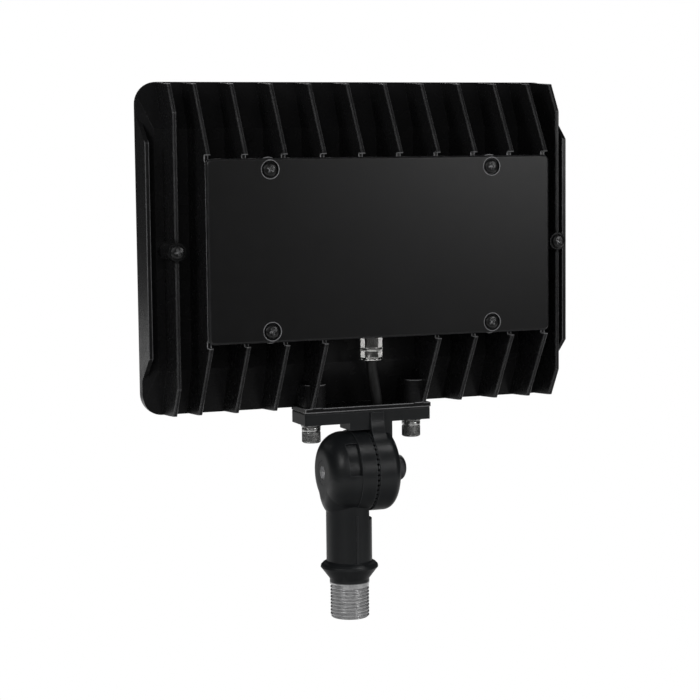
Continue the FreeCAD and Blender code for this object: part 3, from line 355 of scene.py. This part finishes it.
def makePlastic(name):
    finish = plastics[name]
    grain = finish["grain"]
    material, tree, shader = newMaterial(name)
    tone = objectNoise(tree, grain * 0.2, detail=3)
    tree.links.new(mottle(tree, tone, finish["dark"], finish["light"]), shader.inputs["Base Color"])
    gloss = objectNoise(tree, grain * 0.5)
    tree.links.new(spread(tree, gloss, *finish["rough"]), shader.inputs["Roughness"])
    strength = finish.get("bump", plasticRelief["bump"])
    fine = objectNoise(tree, grain)
    relief = bump(tree, fine, strength, plasticRelief["distance"], softEdge(tree, plasticRelief["edge"]))
    tree.links.new(relief, shader.inputs["Normal"])
    shader.inputs["Coat Weight"].default_value = finish.get("coat", 0.0)
    return material


clearLens = {"dark": (0.90, 0.94, 0.93), "light": (0.95, 0.97, 0.96), "rough": (0.02, 0.05), "grain": 30, "ior": 1.5}


def makeGlass(name, finish):
    material, tree, shader = newMaterial(name)
    shader.inputs["Transmission Weight"].default_value = 1.0
    shader.inputs["IOR"].default_value = finish["ior"]
    tone = objectNoise(tree, finish["grain"])
    tree.links.new(mottle(tree, tone, finish["dark"], finish["light"]), shader.inputs["Base Color"])
    tree.links.new(spread(tree, tone, *finish["rough"]), shader.inputs["Roughness"])
    return material


caseCoat = makeCoat("casePowderCoat", powderCoat)
coverCoat = makeCoat("coverPowderCoat", lidCoat)
armCoat = makeCoat("knuckleCastCoat", castCoat)
stemCoat = makeStemCoat("stemCoatAndThread", castCoat, bareThread)
nickel = makeMetal("nickelPlate")
stainless = makeMetal("stainlessSteel")
socketSteel = makeMetal("socketSteel")
recessHighlight = makeMetal("recessHighlight")
darkNut = makeMetal("blackenedNut")
blackScrew = makeCoat("blackScrewCoat", screwCoat)
jacket = makePlastic("cableJacket")
sealRubber = makePlastic("sealRubber")
driverCase = makePlastic("driverCase")
connectorShell = makePlastic("connectorShell")
boardMask = makePlastic("boardSolderMask")
phosphor = makePlastic("emitterPhosphor")
emitterFrame = makePlastic("emitterFrame")
trayWhite = makePlastic("trayWhite")
lensGlass = makeGlass("lensGlass", clearLens)

finishes = {
    caseCoat: ["heatsink_housing", "bezel_frame"],
    coverCoat: ["driver_cover"],
    armCoat: ["upper_knuckle"],
    stemCoat: ["lower_knuckle"],
    nickel: ["gland_body", "gland_nut", "gland_locknut"],
    stainless: [
        "bracket_bolts", "spring_washers", "flat_washers", "pivot_bolt", "pivot_nut", "pivot_washer",
        "board_screws", "driver_screws", "bezel_screws",
    ],
    blackScrew: ["cover_screws", "side_screws"],
    jacket: ["power_cable"],
    sealRubber: ["cover_gasket", "bracket_gasket", "lens_gasket", "gland_seal", "thermal_pad"],
    driverCase: ["led_driver"],
    connectorShell: ["lead_connectors"],
    boardMask: ["led_board"],
    phosphor: ["led_chips"],
    trayWhite: ["reflector_tray"],
    lensGlass: ["front_lens"],
}
for material, members in finishes.items():
    for member in members:
        slots = nodes[member].data.materials
        slots.clear()
        slots.append(material)
print("materials set:", len(finishes))


# modelling helpers: shapes start from a primitive at the origin, standing along +Z, and are placed at the end
def clearSelection():
    if bpy.context.mode != "OBJECT":
        bpy.ops.object.mode_set(mode="OBJECT")
    bpy.ops.object.select_all(action="DESELECT")


def pick(piece):
    clearSelection()
    piece.select_set(True)
    bpy.context.view_layer.objects.active = piece


def selectWhere(piece, kind, test):
    # ends in edit mode with just the vertices, edges or faces that pass the test
    pick(piece)
    bpy.ops.object.mode_set(mode="EDIT")
    bpy.ops.mesh.select_mode(type=kind)
    bpy.ops.mesh.select_all(action="DESELECT")
    bpy.ops.object.mode_set(mode="OBJECT")
    mesh = piece.data
    for item in {"VERT": mesh.vertices, "EDGE": mesh.edges, "FACE": mesh.polygons}[kind]:
        item.select = test(item)
    bpy.ops.object.mode_set(mode="EDIT")


def turnPiece(name, profile, sides=48, turn=0.0):
    # each (radius, height) of the profile is one ring, extruded from the last and scaled about the axis
    clearSelection()
    radius, height = profile[0]
    bpy.ops.mesh.primitive_circle_add(
        vertices=sides, radius=radius, fill_type="NGON", location=(0, 0, height), rotation=(0, 0, turn)
    )
    piece = bpy.context.active_object
    piece.name = name
    bpy.ops.object.transform_apply(location=True, rotation=True, scale=True)
    bpy.ops.object.mode_set(mode="EDIT")
    bpy.ops.mesh.select_all(action="SELECT")
    for (r0, z0), (r1, z1) in zip(profile, profile[1:]):
        bpy.ops.mesh.extrude_region_move(TRANSFORM_OT_translate={"value": (0, 0, z1 - z0)})
        bpy.ops.transform.resize(value=(r1 / r0, r1 / r0, 1), center_override=(0, 0, z1))
    closeNormals()
    return piece


def ringPiece(name, profile, sides):
    # a closed loop of (radius, height) carried round the axis, the last ring bridged to the first
    clearSelection()
    radius, height = profile[0]
    bpy.ops.mesh.primitive_circle_add(vertices=sides, radius=radius, fill_type="NOTHING", location=(0, 0, height))
    piece = bpy.context.active_object
    piece.name = name
    bpy.ops.object.transform_apply(location=True, rotation=True, scale=True)
    bpy.ops.object.mode_set(mode="EDIT")
    bpy.ops.mesh.select_mode(type="EDGE")
    bpy.ops.mesh.select_all(action="SELECT")
    for (r0, z0), (r1, z1) in zip(profile, profile[1:]):
        bpy.ops.mesh.extrude_edges_move(TRANSFORM_OT_translate={"value": (0, 0, z1 - z0)})
        bpy.ops.transform.resize(value=(r1 / r0, r1 / r0, 1), center_override=(0, 0, z1))
    bpy.ops.mesh.select_all(action="DESELECT")
    bpy.ops.mesh.select_non_manifold(extend=False)  # first and last rings are the open ones
    bpy.ops.mesh.bridge_edge_loops()
    bpy.ops.mesh.select_mode(type="VERT")
    closeNormals()
    return piece


def closeNormals():
    bpy.ops.mesh.select_all(action="SELECT")
    bpy.ops.mesh.remove_doubles(threshold=1e-7)
    bpy.ops.mesh.normals_make_consistent(inside=False)
    bpy.ops.object.mode_set(mode="OBJECT")


def applyModifier(piece, kind, **settings):
    pick(piece)
    modifier = piece.modifiers.new(kind.lower(), kind)
    for key, value in settings.items():
        setattr(modifier, key, value)
    bpy.ops.object.modifier_apply(modifier=modifier.name)


def carve(piece, tool, operation="DIFFERENCE", lining=None):
    # with a lining, the cut faces get that material
    if lining:
        tool.data.materials.append(lining)
    applyModifier(piece, "BOOLEAN", object=tool, operation=operation, solver="EXACT", material_mode="TRANSFER")
    bpy.data.objects.remove(tool)


smoothAngle = 32  # degrees; sharper edges stay crisp


def smoothPiece(piece, angle=smoothAngle):
    pick(piece)
    bpy.ops.object.shade_smooth_by_angle(angle=math.radians(angle))


def softenEdges(piece, width, angle, smooth=smoothAngle):
    # rounds the edges that turn by more than the angle
    applyModifier(
        piece, "BEVEL", width=width, segments=2,
        limit_method="ANGLE", angle_limit=math.radians(angle), harden_normals=False,
    )
    smoothPiece(piece, smooth)


def joinPieces(first, others):
    clearSelection()
    for piece in [first, *others]:
        piece.select_set(True)
    bpy.context.view_layer.objects.active = first
    bpy.ops.object.join()
    return first


def putCopies(piece, spots, turn=(0, 0, 0), spins=None):
    # the piece is moved to its first spot, and a copy with its own mesh to each other one
    copies = []
    for i, spot in enumerate(spots[1:], 1):
        pick(piece)
        bpy.ops.object.duplicate(linked=False)
        copies.append((bpy.context.active_object, spot, i))
    for part, spot, i in [(piece, spots[0], 0), *copies]:
        pick(part)
        aim = Euler(turn).to_matrix() @ Matrix.Rotation(spins[i] if spins else 0.0, 3, "Z")
        part.matrix_world = Matrix.Translation(spot) @ aim.to_4x4()
        bpy.ops.object.transform_apply(location=True, rotation=True, scale=True)
    return joinPieces(piece, [part for part, _, _ in copies]) if copies else piece


def dress(piece, body, replaced, material=None):
    if material:
        piece.data.materials.clear()
        piece.data.materials.append(material)
    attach(piece, body)
    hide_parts(*replaced)


def mm(*values):
    return tuple(v / 1000 for v in values)


def inMetres(rings):
    return [mm(*ring) for ring in rings]


def chamferedHex(name, flat, low, high, chamfer, turn, corner):
    # hexagon prism with rounded corners, its ends cut to a cone
    across = flat / math.cos(math.pi / 6)
    piece = turnPiece(name, [(across, low), (across, high)], sides=6, turn=turn)
    points = piece.data.vertices

    def upright(edge):
        first, second = (points[i].co.z for i in edge.vertices)
        return abs(first - second) > 0.5 * (high - low)

    selectWhere(piece, "EDGE", upright)
    bpy.ops.mesh.bevel(offset=corner, segments=5, affect="EDGES")
    bpy.ops.mesh.select_mode(type="VERT")
    closeNormals()
    wide = 1.02 * across
    narrow = wide - 2.2 * chamfer
    past = 1e-5  # the tool ends just outside the prism
    rings = [(narrow, low - past), (wide, low + chamfer), (wide, high - chamfer), (narrow, high + past)]
    carve(piece, turnPiece("chamferTool", rings, sides=64), "INTERSECT")
    return piece


def hexSocket(piece, flat, mouth, depth, lining=None):
    # recess with a drill point, sunk from a mouth that faces -Z
    across = flat / math.cos(math.pi / 6)
    rings = [(across, mouth - 0.001), (across, mouth + depth), (across * 0.08, mouth + depth * 1.25)]
    carve(piece, turnPiece("socketTool", rings, sides=6), lining=lining)


# pan screws of the cover and of the case ends
panScrew = {
    "head": 3.7, "rise": 1.6, "shank": 2.0, "cross": 4.3, "slot": 0.95, "depth": 1.0, "round": 0.07,
    "cover": {"spots": [(-52.5, 137.5), (-52.5, 219.5), (70.5, 137.5), (70.5, 219.5)], "seat": -30.2, "reach": 13.2},
    "ends": {"spots": [(-98.0, 178.5), (116.0, 178.5)], "seat": -18.3, "reach": 32.3},
    "spins": (0.30, 1.05, 0.62, 0.12),  # no two screws stop at the same turn
}


def crossArms(setup, top):
    # two blocks that narrow towards the bottom of the recess
    arms = []
    low = top - setup["depth"]
    high = top + 0.3  # the blocks stand out of the head
    narrow = 0.6
    for long, wide in ((setup["cross"], setup["slot"]), (setup["slot"], setup["cross"])):
        clearSelection()
        bpy.ops.mesh.primitive_cube_add(size=1, location=mm(0, 0, (high + low) / 2), scale=mm(long, wide, high - low))
        arm = bpy.context.active_object
        bpy.ops.object.transform_apply(location=True, rotation=True, scale=True)
        selectWhere(arm, "VERT", lambda vertex: vertex.co.z < (high + low) / 2000)
        bpy.ops.transform.resize(value=(narrow, narrow, 1), center_override=mm(0, 0, low))
        closeNormals()
        arms.append(arm)
    return arms


def makePanScrew(name, setup, reach):
    r, h, shank = setup["head"], setup["rise"], setup["shank"]
    dome = [(1, 0), (1, 0.4), (0.975, 0.58), (0.91, 0.75), (0.78, 0.89), (0.55, 0.96), (0.25, 0.99), (0.06, 1)]
    rings = [(0.75 * shank, -reach), (shank, -reach + 0.6), (shank, 0), *((a * r, b * h) for a, b in dome)]
    screw = turnPiece(name, inMetres(rings))
    screw.data.materials.append(blackScrew)
    for arm in crossArms(setup, h):
        # the recess walls get the lighter lining, a painted highlight
        carve(screw, arm, lining=recessHighlight)
    softenEdges(screw, setup["round"] / 1000, angle=40)
    return screw


for label, node in (("cover", "cover_screws"), ("ends", "side_screws")):
    setup = panScrew[label]
    screw = makePanScrew(label + "Screws", panScrew, setup["reach"])
    spots = [mm(x, setup["seat"], z) for x, z in setup["spots"]]
    screw = putCopies(screw, spots, (math.pi / 2, 0, 0), panScrew["spins"])
    dress(screw, "head", [node])
print("pan screws made")


# flush screws of the lens frame
flushScrew = {
    "head": 2.9, "cone": 1.5, "shank": 1.6, "reach": 5.0, "cross": 3.4, "slot": 0.75, "depth": 0.9, "round": 0.06,
    "face": 14.8,
    "columns": (-98.0, 9.0, 116.0), "rows": (103.5, 253.5), "spins": (0.4, 1.2, 0.1, 0.8, 0.55, 0.95),
}


def makeFlushScrews(setup):
    r, shank, reach = setup["head"], setup["shank"], setup["reach"]
    rings = [(0.7 * shank, -reach), (shank, -reach + 0.5), (shank, -setup["cone"]), (r, -0.1), (r, 0)]
    screw = turnPiece("lensFrameScrews", inMetres(rings), sides=40)
    for arm in crossArms(setup, 0.0):
        carve(screw, arm)
    softenEdges(screw, setup["round"] / 1000, angle=40)
    spots = [mm(x, setup["face"], z) for x in setup["columns"] for z in setup["rows"]]
    return putCopies(screw, spots, (-math.pi / 2, 0, 0), setup["spins"])


dress(makeFlushScrews(flushScrew), "head", ["bezel_screws"], stainless)
print("flush screws made")


# socket bolts under the flange, with their spring and flat washers
flangeBolt = {
    "spots": [(-19.8, 3.0), (37.8, 3.0)], "head": 5.0, "low": 74.2, "seat": 80.2, "shank": 3.0, "top": 102.5,
    "socket": 2.5, "depth": 3.0, "knurl": 44, "groove": 0.22, "spins": (0.2, 0.75),
    "spring": {
        "inner": 3.1, "outer": 5.0, "low": 80.2, "wall": 2.05, "round": 0.22,
        "rise": 0.55, "sweep": 338, "steps": 60, "spins": (2.3, 3.9),
    },
    "flat": {"inner": 3.1, "outer": 5.4, "low": 82.8, "wall": 1.6},
}


def makeFlangeBolt(setup, spots):
    r, shank = setup["head"], setup["shank"]
    low, seat, top = setup["low"], setup["seat"], setup["top"]
    rings = [
        (r - 0.6, low), (r - 0.15, low + 0.35), (r, low + 0.6), (r, seat - 0.5), (r - 0.25, seat),
        (shank, seat), (shank, top - 0.7), (shank - 0.6, top),
    ]
    bolt = turnPiece("flangeBolts", inMetres(rings), sides=setup["knurl"])
    selectWhere(bolt, "FACE", lambda face: abs(face.normal.z) < 0.05 and low + 1 < face.center.z * 1000 < seat - 1)
    groove = setup["groove"] / 1000
    bpy.ops.mesh.inset(thickness=0.6 * groove, depth=-groove, use_individual=True)  # straight knurl
    bpy.ops.mesh.select_mode(type="VERT")
    closeNormals()
    hexSocket(bolt, setup["socket"] / 1000, low / 1000, setup["depth"] / 1000)
    smoothPiece(bolt)
    return putCopies(bolt, spots, spins=setup["spins"])


def makeSpringWasher(setup, spots):
    # a bar of the coil's section is carried round the axis and rises as it goes
    wide = (setup["outer"] - setup["inner"]) / 1000
    tall = setup["wall"] / 1000
    middle = mm((setup["outer"] + setup["inner"]) / 2, 0, setup["low"] + setup["wall"] / 2)
    clearSelection()
    bpy.ops.mesh.primitive_plane_add(size=1, location=middle, rotation=(math.pi / 2, 0, 0))
    coil = bpy.context.active_object
    coil.name = "springWashers"
    coil.scale = (wide, tall, 1)
    bpy.ops.object.transform_apply(location=True, rotation=True, scale=True)
    bpy.ops.object.mode_set(mode="EDIT")
    bpy.ops.mesh.select_all(action="SELECT")
    bpy.ops.mesh.bevel(offset=setup["round"] / 1000, segments=2, affect="VERTICES")
    bpy.ops.mesh.delete(type="ONLY_FACE")
    bpy.ops.object.mode_set(mode="OBJECT")
    applyModifier(
        coil, "SCREW", axis="Z", angle=math.radians(setup["sweep"]), screw_offset=setup["rise"] / 1000,
        steps=setup["steps"], render_steps=setup["steps"],
    )
    bpy.ops.object.mode_set(mode="EDIT")
    bpy.ops.mesh.select_all(action="SELECT")
    bpy.ops.mesh.fill_holes(sides=0)  # the two cut ends
    closeNormals()
    smoothPiece(coil)
    return putCopies(coil, spots, spins=setup["spins"])


def makeFlatWasher(setup, spots):
    a, b, low = setup["inner"], setup["outer"], setup["low"]
    high = low + setup["wall"]
    rings = [(a, low), (b - 0.25, low), (b, low + 0.25), (b, high - 0.1), (b - 0.1, high), (a, high)]
    washer = ringPiece("flatWashers", inMetres(rings), sides=56)
    smoothPiece(washer)
    return putCopies(washer, spots)


boltSpots = [mm(x, y, 0) for x, y in flangeBolt["spots"]]
dress(makeFlangeBolt(flangeBolt, boltSpots), "head", ["bracket_bolts"], stainless)
dress(makeSpringWasher(flangeBolt["spring"], boltSpots), "head", ["spring_washers"], stainless)
dress(makeFlatWasher(flangeBolt["flat"], boltSpots), "head", ["flat_washers"], stainless)
print("flange bolts and washers made")


# cable gland: hexagon body against the box, hexagon nut with a rolled lip under it
cableGland = {
    "centre": (9.0, -12.4), "flat": 5.3, "corner": 1.1, "turn": math.radians(9), "round": 0.12, "smooth": 15,
    "top": 133.1, "hexLow": 124.8, "hexChamfer": 0.5, "collar": 6.1, "collarLow": 123.9,
    "neck": 4.4, "neckLow": 121.3, "spigot": 4.0, "spigotTop": 139.1, "leadBore": 2.85,
    "nutTop": 123.6, "nutLow": 119.7, "nutChamfer": 0.35, "lipLow": 118.2, "nutBore": 4.45, "mouth": 3.3,
}


def makeGlandBody(setup):
    centre = mm(*setup["centre"], 0)
    hexagon = mm(setup["flat"], setup["hexLow"], setup["top"], setup["hexChamfer"])
    body = chamferedHex("glandBody", *hexagon, setup["turn"], setup["corner"] / 1000)
    neck, collar, spigot = setup["neck"], setup["collar"], setup["spigot"]
    low, high, top = setup["collarLow"], setup["hexLow"], setup["spigotTop"]
    rings = [
        (neck, setup["neckLow"]), (neck, low), (collar - 0.2, low), (collar, low + 0.2),
        (collar, high - 0.2), (collar - 0.2, high), (spigot, high + 1), (spigot, top - 0.4), (spigot - 0.4, top),
    ]
    carve(body, turnPiece("collarPart", inMetres(rings), sides=64), "UNION")
    lead = setup["leadBore"]
    bore = [(lead, setup["neckLow"] - 1), (lead, top + 1)]
    carve(body, turnPiece("boreTool", inMetres(bore), sides=40))
    softenEdges(body, setup["round"] / 1000, angle=30, smooth=setup["smooth"])
    return putCopies(body, [centre])


def makeGlandNut(setup):
    centre = mm(*setup["centre"], 0)
    hexagon = mm(setup["flat"], setup["nutLow"], setup["nutTop"], setup["nutChamfer"])
    nut = chamferedHex("glandNut", *hexagon, setup["turn"], setup["corner"] / 1000)
    low, high, r = setup["lipLow"], setup["nutLow"], setup["collar"]
    lip = [
        (r - 1.3, low), (r - 0.5, low + 0.12), (r - 0.1, low + 0.5), (r, low + 0.75),
        (r - 0.1, low + 1.05), (r - 0.5, high + 0.05), (r - 1.3, high + 0.4),
    ]
    carve(nut, turnPiece("lipPart", inMetres(lip), sides=64), "UNION")
    mouth, bore = setup["mouth"], setup["nutBore"]
    rings = [(mouth, low - 1), (mouth, low + 1.5), (bore, low + 1.6), (bore, setup["nutTop"] + 1)]
    carve(nut, turnPiece("boreTool", inMetres(rings), sides=40))
    softenEdges(nut, setup["round"] / 1000, angle=30, smooth=setup["smooth"])
    return putCopies(nut, [centre])


dress(makeGlandBody(cableGland), "head", ["gland_body"], nickel)
dress(makeGlandNut(cableGland), "head", ["gland_nut"], nickel)
print("cable gland made")


# pivot bolt with its hexagon recess, and the domed nut at the other end
pivotSet = {
    "height": 58.0, "head": 6.55, "mouth": -14.85, "under": -6.9, "shank": 4.0, "end": 29.5,
    "socket": 3.3, "depth": 2.6, "round": 0.08, "smooth": 15,
    "nut": {"base": 24.5, "wall": 5.0, "top": 32.7, "radius": 7.0, "bore": 4.05, "boreEnd": 30.2, "round": 0.12},
}


def layAlongX(piece, height):
    # the piece was made standing on +Z; here +Z becomes +X, at the pivot's height
    return putCopies(piece, [mm(0, 0, height)], (0, math.pi / 2, 0))


def makePivotBolt(setup):
    r, shank = setup["head"], setup["shank"]
    a, b, c = setup["mouth"], setup["under"], setup["end"]
    rings = [
        (r - 0.15, a), (r - 0.04, a + 0.04), (r, a + 0.15), (r, b - 0.1), (r - 0.1, b),
        (shank, b), (shank, c - 0.8), (shank - 0.7, c),
    ]
    bolt = turnPiece("pivotBolt", inMetres(rings), sides=64)
    bolt.data.materials.append(armCoat)
    hexSocket(bolt, *mm(setup["socket"], a, setup["depth"]), socketSteel)
    softenEdges(bolt, setup["round"] / 1000, angle=40, smooth=setup["smooth"])
    return layAlongX(bolt, setup["height"])


def makePivotNut(setup):
    nut = setup["nut"]
    r, base, top = nut["radius"], nut["base"], nut["top"]
    spring = base + nut["wall"] - 0.6  # where the dome starts
    rings = [(r - 0.3, base), (r, base + 0.3), (r, spring)]
    for i in range(1, 9):
        t = math.radians(8 + 10 * i)
        rings.append((r * math.cos(t) + 0.02, spring + (top - spring) * math.sin(t)))
    piece = turnPiece("pivotNut", inMetres(rings), sides=64)
    bore = [(nut["bore"], base - 1), (nut["bore"], nut["boreEnd"] - 0.5), (nut["bore"] - 0.6, nut["boreEnd"])]
    carve(piece, turnPiece("boreTool", inMetres(bore)))
    softenEdges(piece, nut["round"] / 1000, angle=40)
    return layAlongX(piece, setup["height"])


dress(makePivotBolt(pivotSet), "stem", ["pivot_bolt"])
dress(makePivotNut(pivotSet), "stem", ["pivot_nut"], darkNut)
print("pivot bolt and nut made")


# emitters: white frames with a sunk phosphor window
emitter = {
    "size": 5.0, "low": 6.6, "high": 7.4, "window": 4.2, "sunk": 0.12, "taper": 0.96,
    "columns": 10, "rows": 6, "pitch": (17.0, 16.0), "centre": (9.0, 178.5),
}


def makeEmitters(setup):
    clearSelection()
    wall = setup["high"] - setup["low"]
    bpy.ops.mesh.primitive_cube_add(size=1, location=mm(0, 0, wall / 2), scale=mm(setup["size"], setup["size"], wall))
    chip = bpy.context.active_object
    chip.name = "emitters"
    bpy.ops.object.transform_apply(location=True, rotation=True, scale=True)
    selectWhere(chip, "FACE", lambda face: face.normal.z > 0.9)
    bpy.ops.mesh.inset(thickness=(setup["size"] - setup["window"]) / 2000)
    bpy.ops.mesh.extrude_region_move(TRANSFORM_OT_translate={"value": mm(0, 0, -setup["sunk"])})
    bpy.ops.transform.resize(value=(setup["taper"], setup["taper"], 1), center_override=mm(0, 0, wall))
    bpy.ops.mesh.select_mode(type="VERT")
    closeNormals()
    for face in chip.data.polygons:
        inside = max(abs(face.center.x), abs(face.center.y)) < 0.4 * setup["window"] / 1000
        face.material_index = 1 if face.normal.z > 0.9 and inside else 0
    stepX, stepZ = setup["pitch"]
    x0 = setup["centre"][0] - stepX * (setup["columns"] - 1) / 2
    z0 = setup["centre"][1] - stepZ * (setup["rows"] - 1) / 2
    grid = [(i, j) for i in range(setup["columns"]) for j in range(setup["rows"])]
    spots = [mm(x0 + stepX * i, setup["low"], z0 + stepZ * j) for i, j in grid]
    chip.data.materials.append(emitterFrame)
    chip.data.materials.append(phosphor)
    return putCopies(chip, spots, (-math.pi / 2, 0, 0))


dress(makeEmitters(emitter), "head", ["led_chips"])
print("emitters made")


# floor, backdrop and light
studio = {
    "floor": -0.30, "side": 2.4, "pale": (0.86, 0.86, 0.86), "rough": 0.9,
    "paintedShadow": [(0.25, 0.16), (0.6, 0.5), (1.0, 1.0)],  # painted shadow that shiny parts see under the object: grey by distance from the middle
}


def shinyRays(tree, rays):
    either = tree.nodes.new("ShaderNodeMath")
    either.operation = "MAXIMUM"
    tree.links.new(rays.outputs["Is Glossy Ray"], either.inputs[0])
    tree.links.new(rays.outputs["Is Transmission Ray"], either.inputs[1])
    return either.outputs["Value"]


def mixShaders(tree, factor, first, second):
    node = tree.nodes.new("ShaderNodeMixShader")
    tree.links.new(factor, node.inputs["Fac"])
    tree.links.new(first, node.inputs[1])
    tree.links.new(second, node.inputs[2])
    return node.outputs["Shader"]


def paleSurface(name, setup):
    # the camera sees it white, or clear from below; shiny parts see it pale, with a painted shadow under the object;
    # light itself meets pale paint
    material, tree, shader = newMaterial(name)
    shader.inputs["Base Color"].default_value = (*setup["pale"], 1)
    shader.inputs["Roughness"].default_value = setup["rough"]
    white = tree.nodes.new("ShaderNodeEmission")
    white.inputs["Color"].default_value = (1, 1, 1, 1)
    mirrored = tree.nodes.new("ShaderNodeEmission")
    coords = tree.nodes.new("ShaderNodeTexCoord")
    reach = tree.nodes.new("ShaderNodeVectorMath")
    reach.operation = "LENGTH"
    tree.links.new(coords.outputs["Object"], reach.inputs[0])
    paintedShadow = ramp(tree, reach.outputs["Value"], greys(setup["paintedShadow"]))
    tree.links.new(paintedShadow, mirrored.inputs["Color"])
    rays = tree.nodes.new("ShaderNodeLightPath")
    below = tree.nodes.new("ShaderNodeNewGeometry")
    clear = tree.nodes.new("ShaderNodeBsdfTransparent")
    surface = mixShaders(tree, shinyRays(tree, rays), shader.outputs["BSDF"], mirrored.outputs["Emission"])
    surface = mixShaders(tree, rays.outputs["Is Camera Ray"], surface, white.outputs["Emission"])
    surface = mixShaders(tree, below.outputs["Backfacing"], surface, clear.outputs["BSDF"])
    tree.links.new(surface, tree.nodes["Material Output"].inputs["Surface"])
    return material


def layFloor(setup):
    clearSelection()
    bpy.ops.mesh.primitive_plane_add(size=setup["side"], location=(0, 0, setup["floor"]))
    plane = bpy.context.active_object
    plane.name = "paleFloor"
    plane.data.materials.append(paleSurface("paleFloorPaint", setup))


layFloor(studio)

room = {
    "diffuse": (0.30, 0.30, 0.31), "behind": (0.0, 0.6), "horizon": (0.0, -0.28),
    "stops": [(0.0, 0.02), (0.18, 0.035), (0.36, 0.10), (1.0, 0.85)],  # pale low down behind the light, dim elsewhere
}


def buildWorld(setup):
    world = bpy.data.worlds.new("studioWorld")
    scene.world = world
    world.use_nodes = True
    tree = world.node_tree
    base = tree.nodes["Background"]
    base.inputs["Color"].default_value = (*setup["diffuse"], 1)
    white = tree.nodes.new("ShaderNodeBackground")
    white.inputs["Color"].default_value = (1, 1, 1, 1)
    mirrored = tree.nodes.new("ShaderNodeBackground")  # what shiny parts and glass see
    coords = tree.nodes.new("ShaderNodeTexCoord")
    split = tree.nodes.new("ShaderNodeSeparateXYZ")
    tree.links.new(coords.outputs["Generated"], split.inputs["Vector"])
    pale = tree.nodes.new("ShaderNodeMath")
    pale.operation = "MULTIPLY"
    for i, (axis, span) in enumerate((("Y", setup["behind"]), ("Z", setup["horizon"]))):
        rise = tree.nodes.new("ShaderNodeMapRange")
        rise.inputs["From Min"].default_value, rise.inputs["From Max"].default_value = span
        tree.links.new(split.outputs[axis], rise.inputs["Value"])
        tree.links.new(rise.outputs["Result"], pale.inputs[i])
    shade = ramp(tree, pale.outputs["Value"], greys(setup["stops"]))
    tree.links.new(shade, mirrored.inputs["Color"])
    rays = tree.nodes.new("ShaderNodeLightPath")
    unseen = mixShaders(tree, shinyRays(tree, rays), base.outputs["Background"], mirrored.outputs["Background"])
    whole = mixShaders(tree, rays.outputs["Is Camera Ray"], unseen, white.outputs["Background"])
    tree.links.new(whole, tree.nodes["World Output"].inputs["Surface"])


buildWorld(room)

knuckleSet = [
    "upper_knuckle", "lower_knuckle", "flangeBolts", "springWashers", "flatWashers",
    "pivotBolt", "pivotNut", "pivot_washer",
]
glandSet = ["glandBody", "glandNut"]
softBoxes = {
    "keyRight": {"place": (0.615, -1.024, 0.36), "size": (0.26, 0.26), "watts": 1.9},
    "topSpark": {"place": (0.50, -0.48, 1.20), "size": (0.26, 0.26), "watts": 1.8, "only": knuckleSet},
    "overhead": {"place": (0.0, -0.30, 1.40), "size": (0.80, 0.80), "watts": 0.2},
    "fillLeft": {"place": (-1.05, -0.50, 0.68), "size": (0.30, 0.50), "watts": 3.0},
    "fillCamera": {"place": (-0.50, -1.50, 0.75), "size": (1.0, 1.0), "watts": 3.4},
    "kickLeft": {"place": (-0.46, 1.25, -0.01), "size": (0.12, 0.08), "watts": 0.04},
    "fillFront": {"place": (0.45, 1.15, 1.10), "size": (0.60, 0.60), "watts": 9.0},
    "glandLeft": {
        "place": (-0.62, 0.77, 0.03), "size": (0.24, 0.30),
        "watts": 2.8, "only": glandSet, "unshaded": True,
    },
    "glandRight": {
        "place": (1.0, 0.15, 0.03), "size": (0.24, 0.30),
        "watts": 2.8, "only": glandSet, "unshaded": True,
    },
    "glandLow": {
        "place": (-0.30, -0.42, -0.30), "size": (1.30, 0.36),
        "watts": 2.2, "only": glandSet, "unshaded": True,
    },
}
lampAim = Vector((0, 0, 0.13))  # the middle of the light


def addSoftBox(name, setup):
    data = bpy.data.lights.new(name, "AREA")
    data.shape = "RECTANGLE"
    data.size, data.size_y = setup["size"]
    data.energy = setup["watts"]
    lamp = bpy.data.objects.new(name, data)
    place = Vector(setup["place"])
    lamp.location = place
    lamp.rotation_euler = (lampAim - place).to_track_quat("-Z", "Y").to_euler()
    lamp.visible_camera = False
    scene.collection.objects.link(lamp)
    if "only" in setup:  # a flagged lamp, which reaches just these pieces
        lit = bpy.data.collections.new(name + "Pieces")
        for piece in setup["only"]:
            lit.objects.link(bpy.data.objects[piece])
        lamp.light_linking.receiver_collection = lit
        if setup.get("unshaded"):  # the bay's fins don't shade the gland from it
            lamp.light_linking.blocker_collection = lit


for name, setup in softBoxes.items():
    addSoftBox(name, setup)
print("stage lit")
